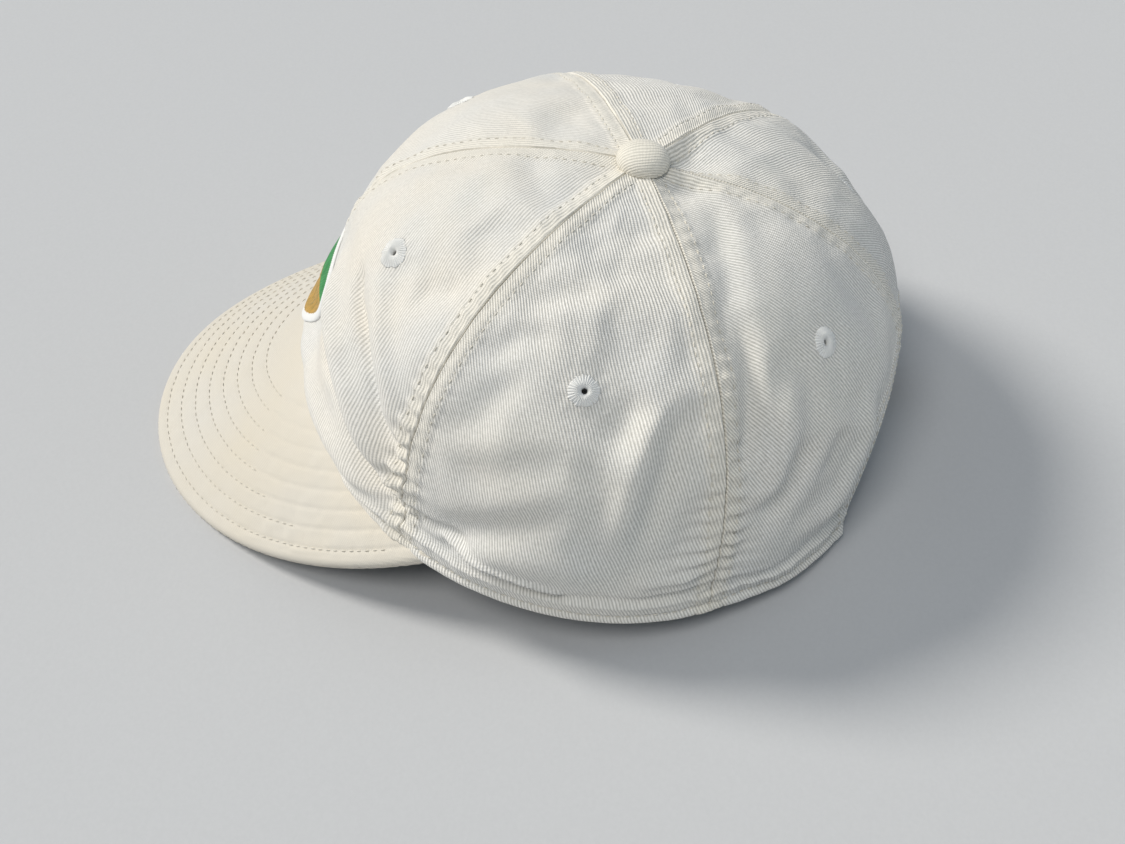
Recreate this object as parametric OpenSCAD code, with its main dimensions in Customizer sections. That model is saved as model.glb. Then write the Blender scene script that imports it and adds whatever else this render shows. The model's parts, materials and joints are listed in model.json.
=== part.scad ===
// Six-panel soft cotton cap with a curved visor and an adjustable strap at the back.
// The wearer looks along -Y, +X is the wearer's left and +Z is up. The origin is the
// centre of the head opening. The cap stands on its visor and on the back of its rim,
// so the rim plane is tilted; every part is drawn on a level rim and tilted at the end.

/* [Crown] */
// Rim centre to the side of the crown
crown_side = 94; // [90:1:96]
// Rim centre to the front of the crown
crown_front = 90; // [87:1:94]
// Rim centre to the back of the crown
crown_back = 87; // [86:1:92]
// Height of the crown above its rim
crown_h = 87; // [82:1:96]
// How fast the crown narrows with height
crown_taper = 0.89; // [0.84:0.01:0.95]
// How round the shoulder is, less is squarer
crown_shoulder = 0.61; // [0.58:0.01:0.66]
// Thickness of a crown panel
panel_t = 1; // [0.9:0.05:1.05]
// Tilt of the rim plane, front up, when the cap stands
rest_tilt = 10; // [9:0.5:11]

/* [Visor] */
// Half the visor's width where it meets the crown
visor_half_w = 87.5; // [86:0.5:88]
// Reach of the visor in front of the crown
visor_reach = 60; // [55:1:68]
// How far the visor's sides drop below its middle
visor_arch = 33.5; // [30:0.5:36]
// How far the visor's tip drops below its corners' line
visor_drop = 77; // [72:1:80]
// Thickness of the stiff board inside the visor
board_t = 2; // [1.6:0.1:2.2]
// Thickness of each fabric cover of the visor
visor_cover_t = 0.7; // [0.5:0.1:0.9]

/* [Trim inside the crown] */
// Width of the tape over each seam
seam_tape_w = 14; // [10:1:16]
// Height of the sweatband
sweatband_h = 28; // [24:1:32]
// Thickness of the sweatband's cotton
sweatband_t = 0.8; // [0.6:0.1:1]

/* [Top button and eyelets] */
// Radius of the covered button
button_r = 7.6; // [6.5:0.1:9]
// Height of the covered button
button_h = 5; // [4:0.5:6]
// Outside radius of an embroidered eyelet
eyelet_r = 4.3; // [3.6:0.1:5]
// Radius of an eyelet's air hole
eyelet_hole_r = 0.8; // [0.6:0.1:1]

/* [Back opening and strap] */
// Half the width of the opening at the rim
opening_half_w = 40; // [37:1:42]
// Height of the arched opening
opening_h = 42; // [38:1:46]
// Width of the strap
strap_w = 20; // [18:1:21]
// Thickness of the folded strap
strap_t = 1; // [0.8:0.1:1.1]
// Distance from the middle of the back to the buckle
buckle_offset = 24; // [22:1:25]

/* [Front badge] */
// Half the badge's width
badge_half_w = 21; // [14:1:24]
// Half the badge's height
badge_half_h = 15; // [12:1:17]
// Height of the badge's centre above the rim
badge_z = 26; // [24:1:34]

/* [Hidden] */

round_facets = 48;
panel_span = 60;
panel_columns = 12;
arch_columns = 8;
panel_rows = 20;
row_crowding = 1.6;
seam_gap = 0.06;
layer_gap = 0.1;
tape_gap = 0.35;
top_hole_r = 2.4;
eyelet_thread_t = 0.55;
eyelet_height_angle = 41;
panel_hole_r = eyelet_hole_r + 0.75;
eyelet_inner_slack = 0.7;

tape_t = 0.5;
tape_half_span = 29;
tape_rim_gap = 1.2;
tape_top_r = 9;
tape_out = -panel_t - tape_gap;
binding_w = 8;

strap_out = -panel_t - 1.8;
strap_z = 2;
strap_left_x = 60;
strap_tail_x = 44;
lining_t = 0.4;
lining_out = strap_out - strap_t - 0.4;
sweatband_out = lining_out - lining_t - layer_gap;
sweatband_end_angle = asin(opening_half_w / crown_side) + 2.5;

// Circle that follows the back of the rim, which the strap slides along
arc_r = crown_side * crown_side / crown_back;
arc_y = crown_back - arc_r;
strap_r = arc_r + strap_out - strap_t / 2;

visor_corner_y = crown_front * sqrt(1 - pow(visor_half_w / crown_side, 2));
visor_tip_y = crown_front + visor_reach;
visor_roundness = 2.05;
visor_rise = visor_drop * (crown_front - visor_corner_y)
    / (visor_tip_y - visor_corner_y) + 0.5;
visor_columns = 30;
visor_rows = 8;
visor_end_angle = asin(visor_half_w / crown_side) - 1.2;
board_end_share = 0.92;
board_edge = 0.94;
cover_end_share = 0.99;
cover_bend = 0.965;

cloth = [0.93, 0.92, 0.87];
visor_cloth = [0.91, 0.9, 0.83];
thread_white = [0.96, 0.96, 0.94];
thread_green = [0.1, 0.5, 0.22];
thread_gold = [0.72, 0.5, 0.16];
brass = [0.66, 0.53, 0.3];
steel = [0.7, 0.7, 0.72];
board_grey = [0.25, 0.26, 0.28];
label_white = [0.97, 0.97, 0.97];

// ---- the crown's surface ----

// Half-length of the crown on the side that faces angle a; 0 is the front, 90 the left
function half_length(a) = cos(a) > 0 ? crown_front : crown_back;

// Share of the rim's size left at the height angle e, 0 at the rim and 90 at the top
function narrowing(e) = pow(max(cos(e), 0), crown_taper);

// Point of the crown at angle a and height angle e, moved outwards by off
function crown_point(a, e, off) = [
    (crown_side + off) * sin(a) * narrowing(e),
    -(half_length(a) + off) * cos(a) * narrowing(e),
    (crown_h + off) * pow(max(sin(e), 0), crown_shoulder)
];

// Height angle at which the crown is z above the rim
function height_angle(z) = asin(pow(max(z, 0) / crown_h, 1 / crown_shoulder));

// Height angle at which the crown has narrowed to the radius r
function top_angle(r) = acos(pow(r / crown_side, 1 / crown_taper));

// Row positions, crowded towards the rim where the crown turns fastest
function row_angle(low, high, share) =
    high * pow(low_share(low, high) + (1 - low_share(low, high)) * share, row_crowding);
function low_share(low, high) = pow(low / high, 1 / row_crowding);

// Outward unit normal of the crown
function crown_normal(a, e) =
    let (step = 0.5)
    let (along = crown_point(a + step, e, 0) - crown_point(a - step, e, 0))
    let (up = crown_point(a, e + step, 0) - crown_point(a, e - step, 0))
    let (n = cross(along, up))
    n / norm(n);

// Height of the arched opening at the angle b away from the middle of the back
opening_half_angle = asin(opening_half_w / crown_side);
function opening_z(b) = abs(b) < opening_half_angle
    ? opening_h * sqrt(1 - pow(b / opening_half_angle, 2)) : 0;

// ---- solids from grids of points ----

// Two triangles for the square with corners p, q, r, s
function square_faces(p, q, r, s) = [[p, q, r], [p, r, s]];

// Closed sheet between two grids of the same size. Columns run along the sheet and
// rows across it, and a looped sheet joins its last column to its first.
module sheet(outer, inner, looped = false) {
    columns = len(outer);
    rows = len(outer[0]);
    points = [for (grid = [outer, inner]) for (column = grid) each column];
    back = columns * rows;
    last = looped ? columns - 1 : columns - 2;
    function at(i, j) = (i % columns) * rows + j;
    faces = [
        for (i = [0:last]) for (j = [0:rows - 2]) each square_faces(
            at(i, j), at(i, j + 1), at(i + 1, j + 1), at(i + 1, j)),
        for (i = [0:last]) for (j = [0:rows - 2]) each square_faces(
            back + at(i, j), back + at(i + 1, j), back + at(i + 1, j + 1), back + at(i, j + 1)),
        for (i = [0:last]) each square_faces(
            at(i, 0), at(i + 1, 0), back + at(i + 1, 0), back + at(i, 0)),
        for (i = [0:last]) each square_faces(
            at(i, rows - 1), back + at(i, rows - 1), back + at(i + 1, rows - 1), at(i + 1, rows - 1)),
        if (!looped) for (j = [0:rows - 2]) each square_faces(
            at(0, j), back + at(0, j), back + at(0, j + 1), at(0, j + 1)),
        if (!looped) for (j = [0:rows - 2]) each square_faces(
            at(columns - 1, j), at(columns - 1, j + 1),
            back + at(columns - 1, j + 1), back + at(columns - 1, j))
    ];
    polyhedron(points = points, faces = faces, convexity = 6);
}

// Puts a part drawn on a level rim into the standing cap
module standing() {
    rotate([-rest_tilt, 0, 0]) children();
}

// Puts a part drawn round the Z axis at a point of the crown, its Z along the normal
module on_crown(a, e) {
    n = crown_normal(a, e);
    translate(crown_point(a, e, 0))
        rotate([0, acos(n[2]), atan2(n[1], n[0])])
            children();
}

// ---- crown panels ----

// One gore of the crown between the seams at start and start + panel_span. low(a) is
// its lower edge, as a height above the rim, and shares are its column positions.
module gore(start, shares, arched) {
    high = top_angle(top_hole_r);
    function angle_at(share, e) =
        let (gap = asin(seam_gap / 2 / (crown_side * narrowing(e))))
        start + gap + (panel_span - 2 * gap) * share;
    function grid(off) = [for (share = shares)
        let (low = arched ? height_angle(opening_z(180 - start - panel_span * share)) : 0)
        [for (j = [0:panel_rows])
            let (e = row_angle(low, high, j / panel_rows))
            crown_point(angle_at(share, e), e, off)]];
    difference() {
        sheet(grid(0), grid(-panel_t));
        on_crown(start + panel_span / 2, eyelet_height_angle)
            cylinder(r = panel_hole_r, h = 8 * panel_t, center = true, $fn = round_facets);
    }
}

even_shares = [for (i = [0:panel_columns]) i / panel_columns];

// The back gores end in half of the arched opening
arched_start = 1 - opening_half_angle / panel_span;
arched_shares = [
    for (i = [0:panel_columns - 5]) arched_start * i / (panel_columns - 4),
    for (i = [0:arch_columns]) 1 - (1 - arched_start) * cos(90 * i / arch_columns)
];

module front_gore() {
    color(cloth) standing() gore(0, even_shares, false);
}

module side_gore() {
    color(cloth) standing() gore(panel_span, even_shares, false);
}

module back_gore() {
    color(cloth) standing() gore(2 * panel_span, arched_shares, true);
}

module front_left_panel() {
    front_gore();
}

module front_right_panel() {
    mirror([1, 0, 0]) front_gore();
}

module side_left_panel() {
    side_gore();
}

module side_right_panel() {
    mirror([1, 0, 0]) side_gore();
}

module back_left_panel() {
    back_gore();
}

module back_right_panel() {
    mirror([1, 0, 0]) back_gore();
}

// ---- visor ----

// Point on the visor's mid-surface: across runs from -1 to 1, out from 0 at the crown
// to 1 at the outer edge, and up is the distance above the mid-surface
function visor_edge(across) =
    let (c = pow(abs(cos(90 * across)), 2 / visor_roundness))
    let (s = pow(abs(sin(90 * across)), 2 / visor_roundness))
    [visor_half_w * sign(across) * s, -visor_corner_y - (visor_tip_y - visor_corner_y) * c];

function visor_root(across) =
    let (a = visor_end_angle * across)
    [(crown_side + 2 * layer_gap) * sin(a), -(crown_front + 2 * layer_gap) * cos(a)];

function visor_z(x, y) = visor_rise
    - visor_arch * pow(x / visor_half_w, 2)
    - visor_drop * (-y - visor_corner_y) / (visor_tip_y - visor_corner_y);

function visor_point(across, out, up) =
    let (p = visor_root(across) * (1 - out) + visor_edge(across) * out)
    [p[0], p[1], visor_z(p[0], p[1]) + up];

// Grid over the share side of the visor's breadth. It starts at the share from of the way
// out, lies up above the mid-surface as far as the share bend, and ends at the share to
// with the height up_edge.
function visor_grid(side, from, bend, to, up, up_edge) = [
    for (i = [0:visor_columns])
        let (across = side * (2 * i / visor_columns - 1))
        [for (j = [0:visor_rows])
            let (last = j == visor_rows)
            let (out = last ? to : from + (bend - from) * j / (visor_rows - 1))
            visor_point(across, out, last ? up_edge : up)]];

module visor_board() {
    color(board_grey) standing()
        sheet(visor_grid(board_end_share, 0.02, 0.91, board_edge, board_t / 2, board_t / 2),
              visor_grid(board_end_share, 0.02, 0.91, board_edge, -board_t / 2, -board_t / 2));
}

// One fabric cover; side is 1 on top and -1 underneath. Past the board it runs to the
// edge seam, where the two covers meet.
module visor_cover(side) {
    face = board_t / 2 + 2 * layer_gap;
    back = side * face;
    front = side * (face + visor_cover_t);
    upper = max(front, back);
    lower = min(front, back);
    edge_front = side * (visor_cover_t + layer_gap / 2);
    edge_back = side * layer_gap / 2;
    sheet(visor_grid(cover_end_share, 0, cover_bend, 1, upper, max(edge_front, edge_back)),
          visor_grid(cover_end_share, 0, cover_bend, 1, lower, min(edge_front, edge_back)));
}

module visor_top_cover() {
    color(visor_cloth) standing() visor_cover(1);
}

module visor_under_cover() {
    color(visor_cloth) standing() visor_cover(-1);
}

// ---- button on top ----

button_base = crown_h + layer_gap;
cover_t = 0.7;
shell_t = 0.5;
rivet_r = 1.2;
rivet_plate_r = 6.5;
rivet_plate_t = 0.8;
rivet_plate_z = crown_h - panel_t - tape_t - 4 * layer_gap - rivet_plate_t;

// Outline of a flat dome, r wide and h high, from its foot to its middle
function dome_outline(r, h) = [for (i = [0:12])
    let (a = 90 * i / 12)
    [r * pow(cos(a), 0.7), h * pow(sin(a), 0.85)]];

// Domed cup between two outlines, open underneath
module dome_cup(r, h, t) {
    outer = dome_outline(r, h);
    inner = dome_outline(r - t, h - t);
    inward = [for (i = [len(inner) - 1:-1:0]) inner[i]];
    rotate_extrude($fn = round_facets)
        polygon([for (p = concat(outer, inward)) [max(p[0], 0), p[1]]]);
}

module button_cover() {
    color(cloth) standing() translate([0, 0, button_base])
        dome_cup(button_r, button_h, cover_t);
}

module button_shell() {
    color(steel) standing() translate([0, 0, button_base])
        dome_cup(button_r - cover_t - layer_gap, button_h - cover_t - layer_gap, shell_t);
}

// The rivet's plate lies under the panels and its shank holds the shell from below
module button_rivet() {
    shell_inside = button_base + button_h - cover_t - shell_t - 3 * layer_gap;
    color(steel) standing() {
        translate([0, 0, rivet_plate_z])
            cylinder(r = rivet_plate_r, h = rivet_plate_t, $fn = round_facets);
        translate([0, 0, rivet_plate_z])
            cylinder(r = rivet_r, h = shell_inside - rivet_plate_z, $fn = round_facets);
    }
}

// ---- tapes, sweatband and binding inside the crown ----

// Tape over the seam at the angle a, from the height z up to the rivet's plate
module seam_tape(a, z) {
    low = height_angle(z);
    high = top_angle(tape_top_r);
    function half_span(e) =
        min(tape_half_span, asin(seam_tape_w / 2 / (crown_side * narrowing(e))));
    function grid(off) = [for (side = [-1, -1/3, 1/3, 1])
        [for (j = [0:panel_rows])
            let (e = row_angle(low, high, j / panel_rows))
            crown_point(a + side * half_span(e), e, off)]];
    color(cloth) standing() sheet(grid(tape_out), grid(tape_out - tape_t));
}

module seam_tape_front() {
    seam_tape(0, tape_rim_gap);
}

module seam_tape_front_left() {
    seam_tape(panel_span, tape_rim_gap);
}

module seam_tape_front_right() {
    seam_tape(-panel_span, tape_rim_gap);
}

module seam_tape_back_left() {
    seam_tape(2 * panel_span, tape_rim_gap);
}

module seam_tape_back_right() {
    seam_tape(-2 * panel_span, tape_rim_gap);
}

module seam_tape_back() {
    seam_tape(3 * panel_span, tape_rim_gap + opening_h + binding_w + 1);
}

// Band standing on the rim plane, between two offsets from the crown and two angles
module rim_band(out, t, h, from, to) {
    steps = 60;
    function edge(off) = [for (i = [0:steps])
        let (p = crown_point(from + (to - from) * i / steps, 0, off))
        [p[0], p[1]]];
    outer = edge(out);
    inner = edge(out - t);
    linear_extrude(height = h)
        polygon(concat(outer, [for (i = [steps:-1:0]) inner[i]]));
}

module sweatband() {
    reach = 180 - sweatband_end_angle;
    color(cloth) standing() rim_band(sweatband_out, sweatband_t, sweatband_h, -reach, reach);
}

module sweatband_lining() {
    reach = 180 - sweatband_end_angle;
    color(label_white) standing() translate([0, 0, 1])
        rim_band(lining_out, lining_t, sweatband_h - 2, -reach, reach);
}

// Folded tape round the arch of the opening, on the inside of the back panels
module opening_binding() {
    steps = 28;
    rows = 3;
    widening = binding_w / opening_h;
    function at(i, j, off) =
        let (t = 180 * i / steps)
        let (grow = 1 + widening * j / rows)
        let (b = opening_half_angle * grow * cos(t))
        let (e = height_angle(tape_rim_gap + opening_h * grow * sin(t)))
        crown_point(180 + b, e, off);
    function grid(off) = [for (i = [0:steps]) [for (j = [0:rows]) at(i, j, off)]];
    color(cloth) standing()
        sheet(grid(tape_out), grid(tape_out - tape_t));
}

// Plain label sewn to the inside of the sweatband
module care_label() {
    color(label_white) standing() translate([0, 0, 12])
        rim_band(sweatband_out - sweatband_t - layer_gap, 0.3, 20, 124, 142);
}

// ---- embroidered eyelets ----

// Ring of thread through the panel, with a flange on each face round the air hole
module eyelet(a) {
    reach_in = panel_t + eyelet_inner_slack;
    barrel_r = panel_hole_r - 0.05;
    lip = 0.12;
    color(thread_white) standing() on_crown(a, eyelet_height_angle)
        rotate_extrude($fn = round_facets)
            polygon([
                [eyelet_hole_r, -reach_in - eyelet_thread_t],
                [eyelet_r - 0.6, -reach_in - eyelet_thread_t],
                [eyelet_r - 0.4, -reach_in],
                [barrel_r, -reach_in],
                [barrel_r, lip],
                [eyelet_r, lip],
                [eyelet_r - 0.3, lip + eyelet_thread_t * 0.7],
                [eyelet_r - 1.2, lip + eyelet_thread_t],
                [eyelet_hole_r + 0.6, lip + eyelet_thread_t],
                [eyelet_hole_r, lip + eyelet_thread_t * 0.6]
            ]);
}

module eyelet_front_left() {
    eyelet(panel_span / 2);
}

module eyelet_front_right() {
    eyelet(-panel_span / 2);
}

module eyelet_side_left() {
    eyelet(panel_span * 3 / 2);
}

module eyelet_side_right() {
    eyelet(-panel_span * 3 / 2);
}

module eyelet_back_left() {
    eyelet(panel_span * 5 / 2);
}

module eyelet_back_right() {
    eyelet(-panel_span * 5 / 2);
}

// ---- plain badge on the front ----

badge_border_w = 0.14;
badge_steps = 12;
badge_thread_t = 0.6;
badge_out = 0.15;

// Point of the badge: x and y run from -1 to 1 over its width and height
function badge_point(x, y, off) =
    let (a = asin(x * badge_half_w / crown_front))
    crown_point(a, height_angle(badge_z + y * badge_half_h), off);

// White rim of the badge
module badge_border() {
    steps = 4 * badge_steps;
    function grid(off) = [for (i = [0:steps - 1])
        [for (grow = [1 - badge_border_w, 1 - badge_border_w / 2, 1])
            badge_point(-grow * cos(360 * i / steps), grow * sin(360 * i / steps), off)]];
    color(thread_white) standing()
        sheet(grid(badge_out + badge_thread_t), grid(badge_out), true);
}

// Upper or lower half of the badge's field; half is 1 or -1
module badge_field(half) {
    reach = 1 - badge_border_w - 0.02;
    rows = 5;
    function column_x(i) = half * 0.97 * reach * (2 * i / badge_steps - 1);
    function grid(off) = [for (i = [0:badge_steps])
        let (x = column_x(i))
        let (tall = sqrt(reach * reach - x * x))
        [for (j = [0:rows]) badge_point(x, half * (0.01 + (tall - 0.01) * j / rows), off)]];
    standing() sheet(grid(badge_out + badge_thread_t - 0.1), grid(badge_out));
}

module badge_upper_field() {
    color(thread_green) badge_field(1);
}

module badge_lower_field() {
    color(thread_gold) badge_field(-1);
}

// ---- strap and buckle at the back ----

// Angle round the strap's circle for the distance x from the middle of the back
function arc_angle(x) = asin(x / strap_r);

// Band h high and t thick inside the radius r of the strap's circle, between two distances
// from the middle of the back. Distances grow towards the wearer's right.
module arc_band(r, t, h, from_x, to_x) {
    start = 90 + arc_angle(from_x);
    sweep = arc_angle(to_x) - arc_angle(from_x);
    translate([0, arc_y, 0]) rotate([0, 0, start])
        rotate_extrude(angle = sweep, $fn = 180)
            translate([r - t, 0]) square([t, h]);
}

// Puts a part on the strap at the distance x from the middle of the back: X runs towards
// the middle of the back, Y outwards and Z up
module on_strap(x) {
    translate([0, arc_y, 0]) rotate([0, 0, arc_angle(x)])
        translate([0, strap_r, strap_z + strap_w / 2])
            children();
}

module at_buckle() {
    on_strap(buckle_offset) children();
}

module at_loop_bar() {
    on_strap(buckle_offset + loop_bar_offset) translate([0, loop_bar_y, 0]) children();
}

module closure_strap() {
    color(cloth) standing() translate([0, 0, strap_z])
        arc_band(strap_r + strap_t / 2, strap_t, strap_w, -strap_left_x, strap_tail_x);
}

buckle_len = 18;
buckle_plate_t = 0.8;
buckle_clear = 0.45;
cheek_z = strap_w / 2 + buckle_clear;
cheek_t = 0.9;
buckle_floor = -strap_t / 2 - 1.35;
buckle_roof = strap_t / 2 + 2.4;
pin_x = -5.5;
pin_y = strap_t / 2 + 1.6;
pin_r = 0.7;
pin_clear = 0.05;
barrel_r = 1.3;
loop_bar_offset = 13;
loop_bar_y = -strap_t / 2 - 1.9;
loop_bar_r = 0.9;
loop_t = 0.6;
loop_arm_len = loop_bar_offset - buckle_len / 2 + 1.5;
lever_len = 15.5;
lever_t = 0.8;

// Stamped frame: a floor under the strap, two cheeks for the pin and a bar for the loop
module buckle_frame() {
    color(brass) standing() difference() {
        union() {
            at_buckle() translate([-buckle_len / 2, buckle_floor - buckle_plate_t, 0]) {
                translate([0, 0, -cheek_z - cheek_t])
                    cube([buckle_len, buckle_plate_t, 2 * (cheek_z + cheek_t)]);
                for (z = [-cheek_z - cheek_t, cheek_z])
                    translate([0, 0, z])
                        cube([buckle_len / 2, buckle_roof - buckle_floor, cheek_t]);
            }
            at_loop_bar() {
                cylinder(r = loop_bar_r, h = 2 * cheek_z + cheek_t, center = true, $fn = 24);
                for (z = [-cheek_z - cheek_t, cheek_z])
                    translate([0, -buckle_plate_t / 2, z])
                        cube([loop_arm_len, buckle_plate_t, cheek_t]);
            }
        }
        at_buckle() translate([pin_x, pin_y, 0])
            cylinder(r = pin_r + pin_clear / 2, h = 4 * cheek_z, center = true, $fn = 32);
    }
}

module buckle_pin() {
    color(brass) standing() at_buckle() translate([pin_x, pin_y, 0])
        cylinder(r = pin_r, h = 2 * (cheek_z + cheek_t), center = true, $fn = 32);
}

// Flip lever that presses the strap on the frame's floor
module buckle_lever() {
    width = 2 * (cheek_z - 0.25);
    color(brass) standing() at_buckle() translate([pin_x, pin_y, 0]) difference() {
        union() {
            cylinder(r = barrel_r, h = width, center = true, $fn = 40);
            translate([0, -lever_t / 2, -width / 2])
                cube([lever_len, lever_t, width]);
            translate([lever_len, 0, 0])
                cylinder(r = lever_t * 0.8, h = width, center = true, $fn = 24);
        }
        cylinder(r = pin_r + pin_clear, h = 2 * width, center = true, $fn = 32);
    }
}

// Fabric loop round the frame's bar, with its doubled tail sewn to the sweatband's end
module buckle_loop() {
    width = 2 * cheek_z - 1;
    hole_r = loop_bar_r + 0.1;
    tail_r = strap_r + loop_bar_y + loop_t;
    from_x = buckle_offset + loop_bar_offset + hole_r + loop_t / 2;
    sweatband_end_x = (crown_side + sweatband_out - sweatband_t) * sin(sweatband_end_angle);
    to_x = (sweatband_end_x - 0.3) * strap_r / tail_r;
    color(cloth) standing() {
        at_loop_bar() difference() {
            cylinder(r = hole_r + loop_t, h = width, center = true, $fn = 32);
            cylinder(r = hole_r, h = 2 * width, center = true, $fn = 32);
        }
        translate([0, 0, strap_z + 0.1 - (width - strap_w) / 2])
            arc_band(tail_r, 2 * loop_t, width - 0.2, from_x, to_x);
    }
}

front_left_panel();
front_right_panel();
side_left_panel();
side_right_panel();
back_left_panel();
back_right_panel();
visor_board();
visor_top_cover();
visor_under_cover();
button_cover();
button_shell();
button_rivet();
seam_tape_front();
seam_tape_front_left();
seam_tape_back_left();
seam_tape_back();
seam_tape_back_right();
seam_tape_front_right();
sweatband();
sweatband_lining();
opening_binding();
eyelet_front_left();
eyelet_front_right();
eyelet_side_left();
eyelet_side_right();
eyelet_back_left();
eyelet_back_right();
badge_border();
badge_upper_field();
badge_lower_field();
closure_strap();
buckle_loop();
buckle_frame();
buckle_pin();
buckle_lever();
care_label();
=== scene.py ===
"""Looks of a six-panel cotton cap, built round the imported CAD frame.

Shapes are worked out in millimetres on a level rim, then tilted to the standing cap and
written in metres. Angles round the crown are in degrees: 0 is the front, 90 the wearer's
left and 180 the back. Height angles run from 0 at the rim to 90 at the top.
"""
import json
import math

import bpy
import numpy as np
from mathutils import Matrix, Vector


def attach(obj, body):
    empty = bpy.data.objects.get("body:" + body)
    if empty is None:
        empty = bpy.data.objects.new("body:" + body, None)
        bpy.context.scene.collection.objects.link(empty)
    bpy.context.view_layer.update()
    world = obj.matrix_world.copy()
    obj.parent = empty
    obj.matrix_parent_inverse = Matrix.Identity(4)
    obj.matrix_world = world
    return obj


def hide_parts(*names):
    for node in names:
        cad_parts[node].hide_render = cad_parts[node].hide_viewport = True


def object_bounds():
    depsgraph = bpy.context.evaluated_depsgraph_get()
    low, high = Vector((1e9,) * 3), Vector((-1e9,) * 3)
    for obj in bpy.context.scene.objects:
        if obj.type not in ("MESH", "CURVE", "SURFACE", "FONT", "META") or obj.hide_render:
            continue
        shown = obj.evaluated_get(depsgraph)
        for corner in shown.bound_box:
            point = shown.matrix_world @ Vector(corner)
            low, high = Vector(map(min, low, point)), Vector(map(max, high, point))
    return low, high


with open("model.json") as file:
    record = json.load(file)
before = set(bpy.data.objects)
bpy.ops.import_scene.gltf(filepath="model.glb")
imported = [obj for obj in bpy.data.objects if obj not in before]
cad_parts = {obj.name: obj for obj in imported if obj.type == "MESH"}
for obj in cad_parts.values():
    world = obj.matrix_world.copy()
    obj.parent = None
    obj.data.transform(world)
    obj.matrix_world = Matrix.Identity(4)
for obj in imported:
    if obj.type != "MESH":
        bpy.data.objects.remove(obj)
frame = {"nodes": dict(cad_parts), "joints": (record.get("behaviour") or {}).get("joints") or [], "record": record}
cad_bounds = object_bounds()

MM = 0.001

# ---- places taken from the frame ----

JOINTS = {joint["name"]: joint for joint in frame["joints"]}
RIM_AXIS = JOINTS["strap_slide"]["axis"]
TILT = math.atan2(RIM_AXIS[1], RIM_AXIS[2])


def turn_x(points, angle):
    """Points turned about the X axis."""
    c, s = math.cos(angle), math.sin(angle)
    x, y, z = points[..., 0], points[..., 1], points[..., 2]
    return np.stack([x, y * c - z * s, y * s + z * c], -1)


def to_standing(points):
    return turn_x(points, -TILT)


def to_level(points):
    return turn_x(points, TILT)


def mesh_points(mesh):
    """A mesh's corners on a level rim, in millimetres."""
    flat = np.empty(len(mesh.vertices) * 3)
    mesh.vertices.foreach_get("co", flat)
    return to_level(flat.reshape(-1, 3)) / MM


def node_points(name):
    return mesh_points(frame["nodes"][name].data)


def level_mm(place):
    return to_level(np.array(place)) / MM


MOUNTS = {mount["name"]: mount for mount in frame["record"]["mounts"]}
SIDE = node_points("side_left_panel")[:, 0].max()
FRONT = -node_points("front_left_panel")[:, 1].min()
BACK = level_mm(MOUNTS["back_opening"]["pos_m"])[1]
BUTTON = node_points("button_cover")
BUTTON_FOOT, BUTTON_TOP, BUTTON_R = BUTTON[:, 2].min(), BUTTON[:, 2].max(), BUTTON[:, 0].max()
SWEATBAND_H = node_points("sweatband")[:, 2].max()
BADGE = node_points("badge_border")
BADGE_LOW, BADGE_HIGH, BADGE_HALF_W = BADGE[:, 2].min(), BADGE[:, 2].max(), BADGE[:, 0].max()
BADGE_Z = 0.5 * (BADGE_LOW + BADGE_HIGH)
BADGE_HALF_H = 0.5 * (BADGE_HIGH - BADGE_LOW)

# Sizes of the CAD design that the frame does not hold: the crown's profile, the seams' spacing,
# the panels' thickness, the opening and the eyelets' height angle
HEIGHT = BUTTON_FOOT - 0.1
TAPER = 0.89
SHOULDER = 0.61
SPAN = 60.0
TOP_HOLE_R = 2.4
PANEL_T = 1.0
OPENING_H = 42.0
OPENING_HALF_W = 40.0
OPENING_HALF = math.degrees(math.asin(OPENING_HALF_W / SIDE))
EYELET_E = 41.0


# ---- small tools ----

def set_all(target, settings):
    for key, value in settings.items():
        setattr(target, key, value)



def quads(nu, nv, at):
    """Corners of every cell of an nu by nv grid; at gives the number of a corner."""
    i, j = np.meshgrid(np.arange(nu), np.arange(nv), indexing="ij")
    return np.stack([at(i, j), at(i + 1, j), at(i + 1, j + 1), at(i, j + 1)], -1)


def smooth(x, low, high):
    """0 below low, 1 above high, smooth in between."""
    t = np.clip((x - low) / (high - low), 0, 1)
    return t * t * (3 - 2 * t)


def bell(x, width):
    return np.exp(-(x / width) ** 2)


def unit(v):
    return v / np.maximum(np.linalg.norm(v, axis=-1, keepdims=True), 1e-12)


def noise(points, size, seed):
    """Smooth noise from -1 to 1 whose lumps are about size millimetres across.

    A whole-number hash of each cell's corner gives its value, so it never changes.
    """
    q = points / size
    cell = np.floor(q).astype(np.int64)
    f = q - cell
    f = f * f * (3 - 2 * f)
    total = np.zeros(points.shape[:-1])
    for corner in range(8):
        bits = np.array([corner & 1, corner >> 1 & 1, corner >> 2 & 1])
        c = cell + bits
        h = c[..., 0] * 73856093 ^ c[..., 1] * 19349663 ^ c[..., 2] * 83492791
        h = (h ^ seed * 50331653) & 0x7FFFFFFF
        h = (h * 1103515245 + 12345) & 0x7FFFFFFF
        h = ((h ^ (h >> 13)) * 69069 + 1) & 0x7FFFFFFF
        value = h / 0x3FFFFFFF - 1.0
        weight = np.prod(np.where(bits == 1, f, 1 - f), axis=-1)
        total += value * weight
    return total


def noise_1d(x, size, seed):
    """Smooth noise along a line."""
    x = np.asarray(x, float)
    points = np.stack([x, np.full_like(x, 0.37 * size), np.full_like(x, 0.71 * size)], -1)
    return noise(points, size, seed)


# ---- the crown's surface ----

def half_length(a):
    return np.where(np.cos(np.radians(a)) > 0, FRONT, BACK)


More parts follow.
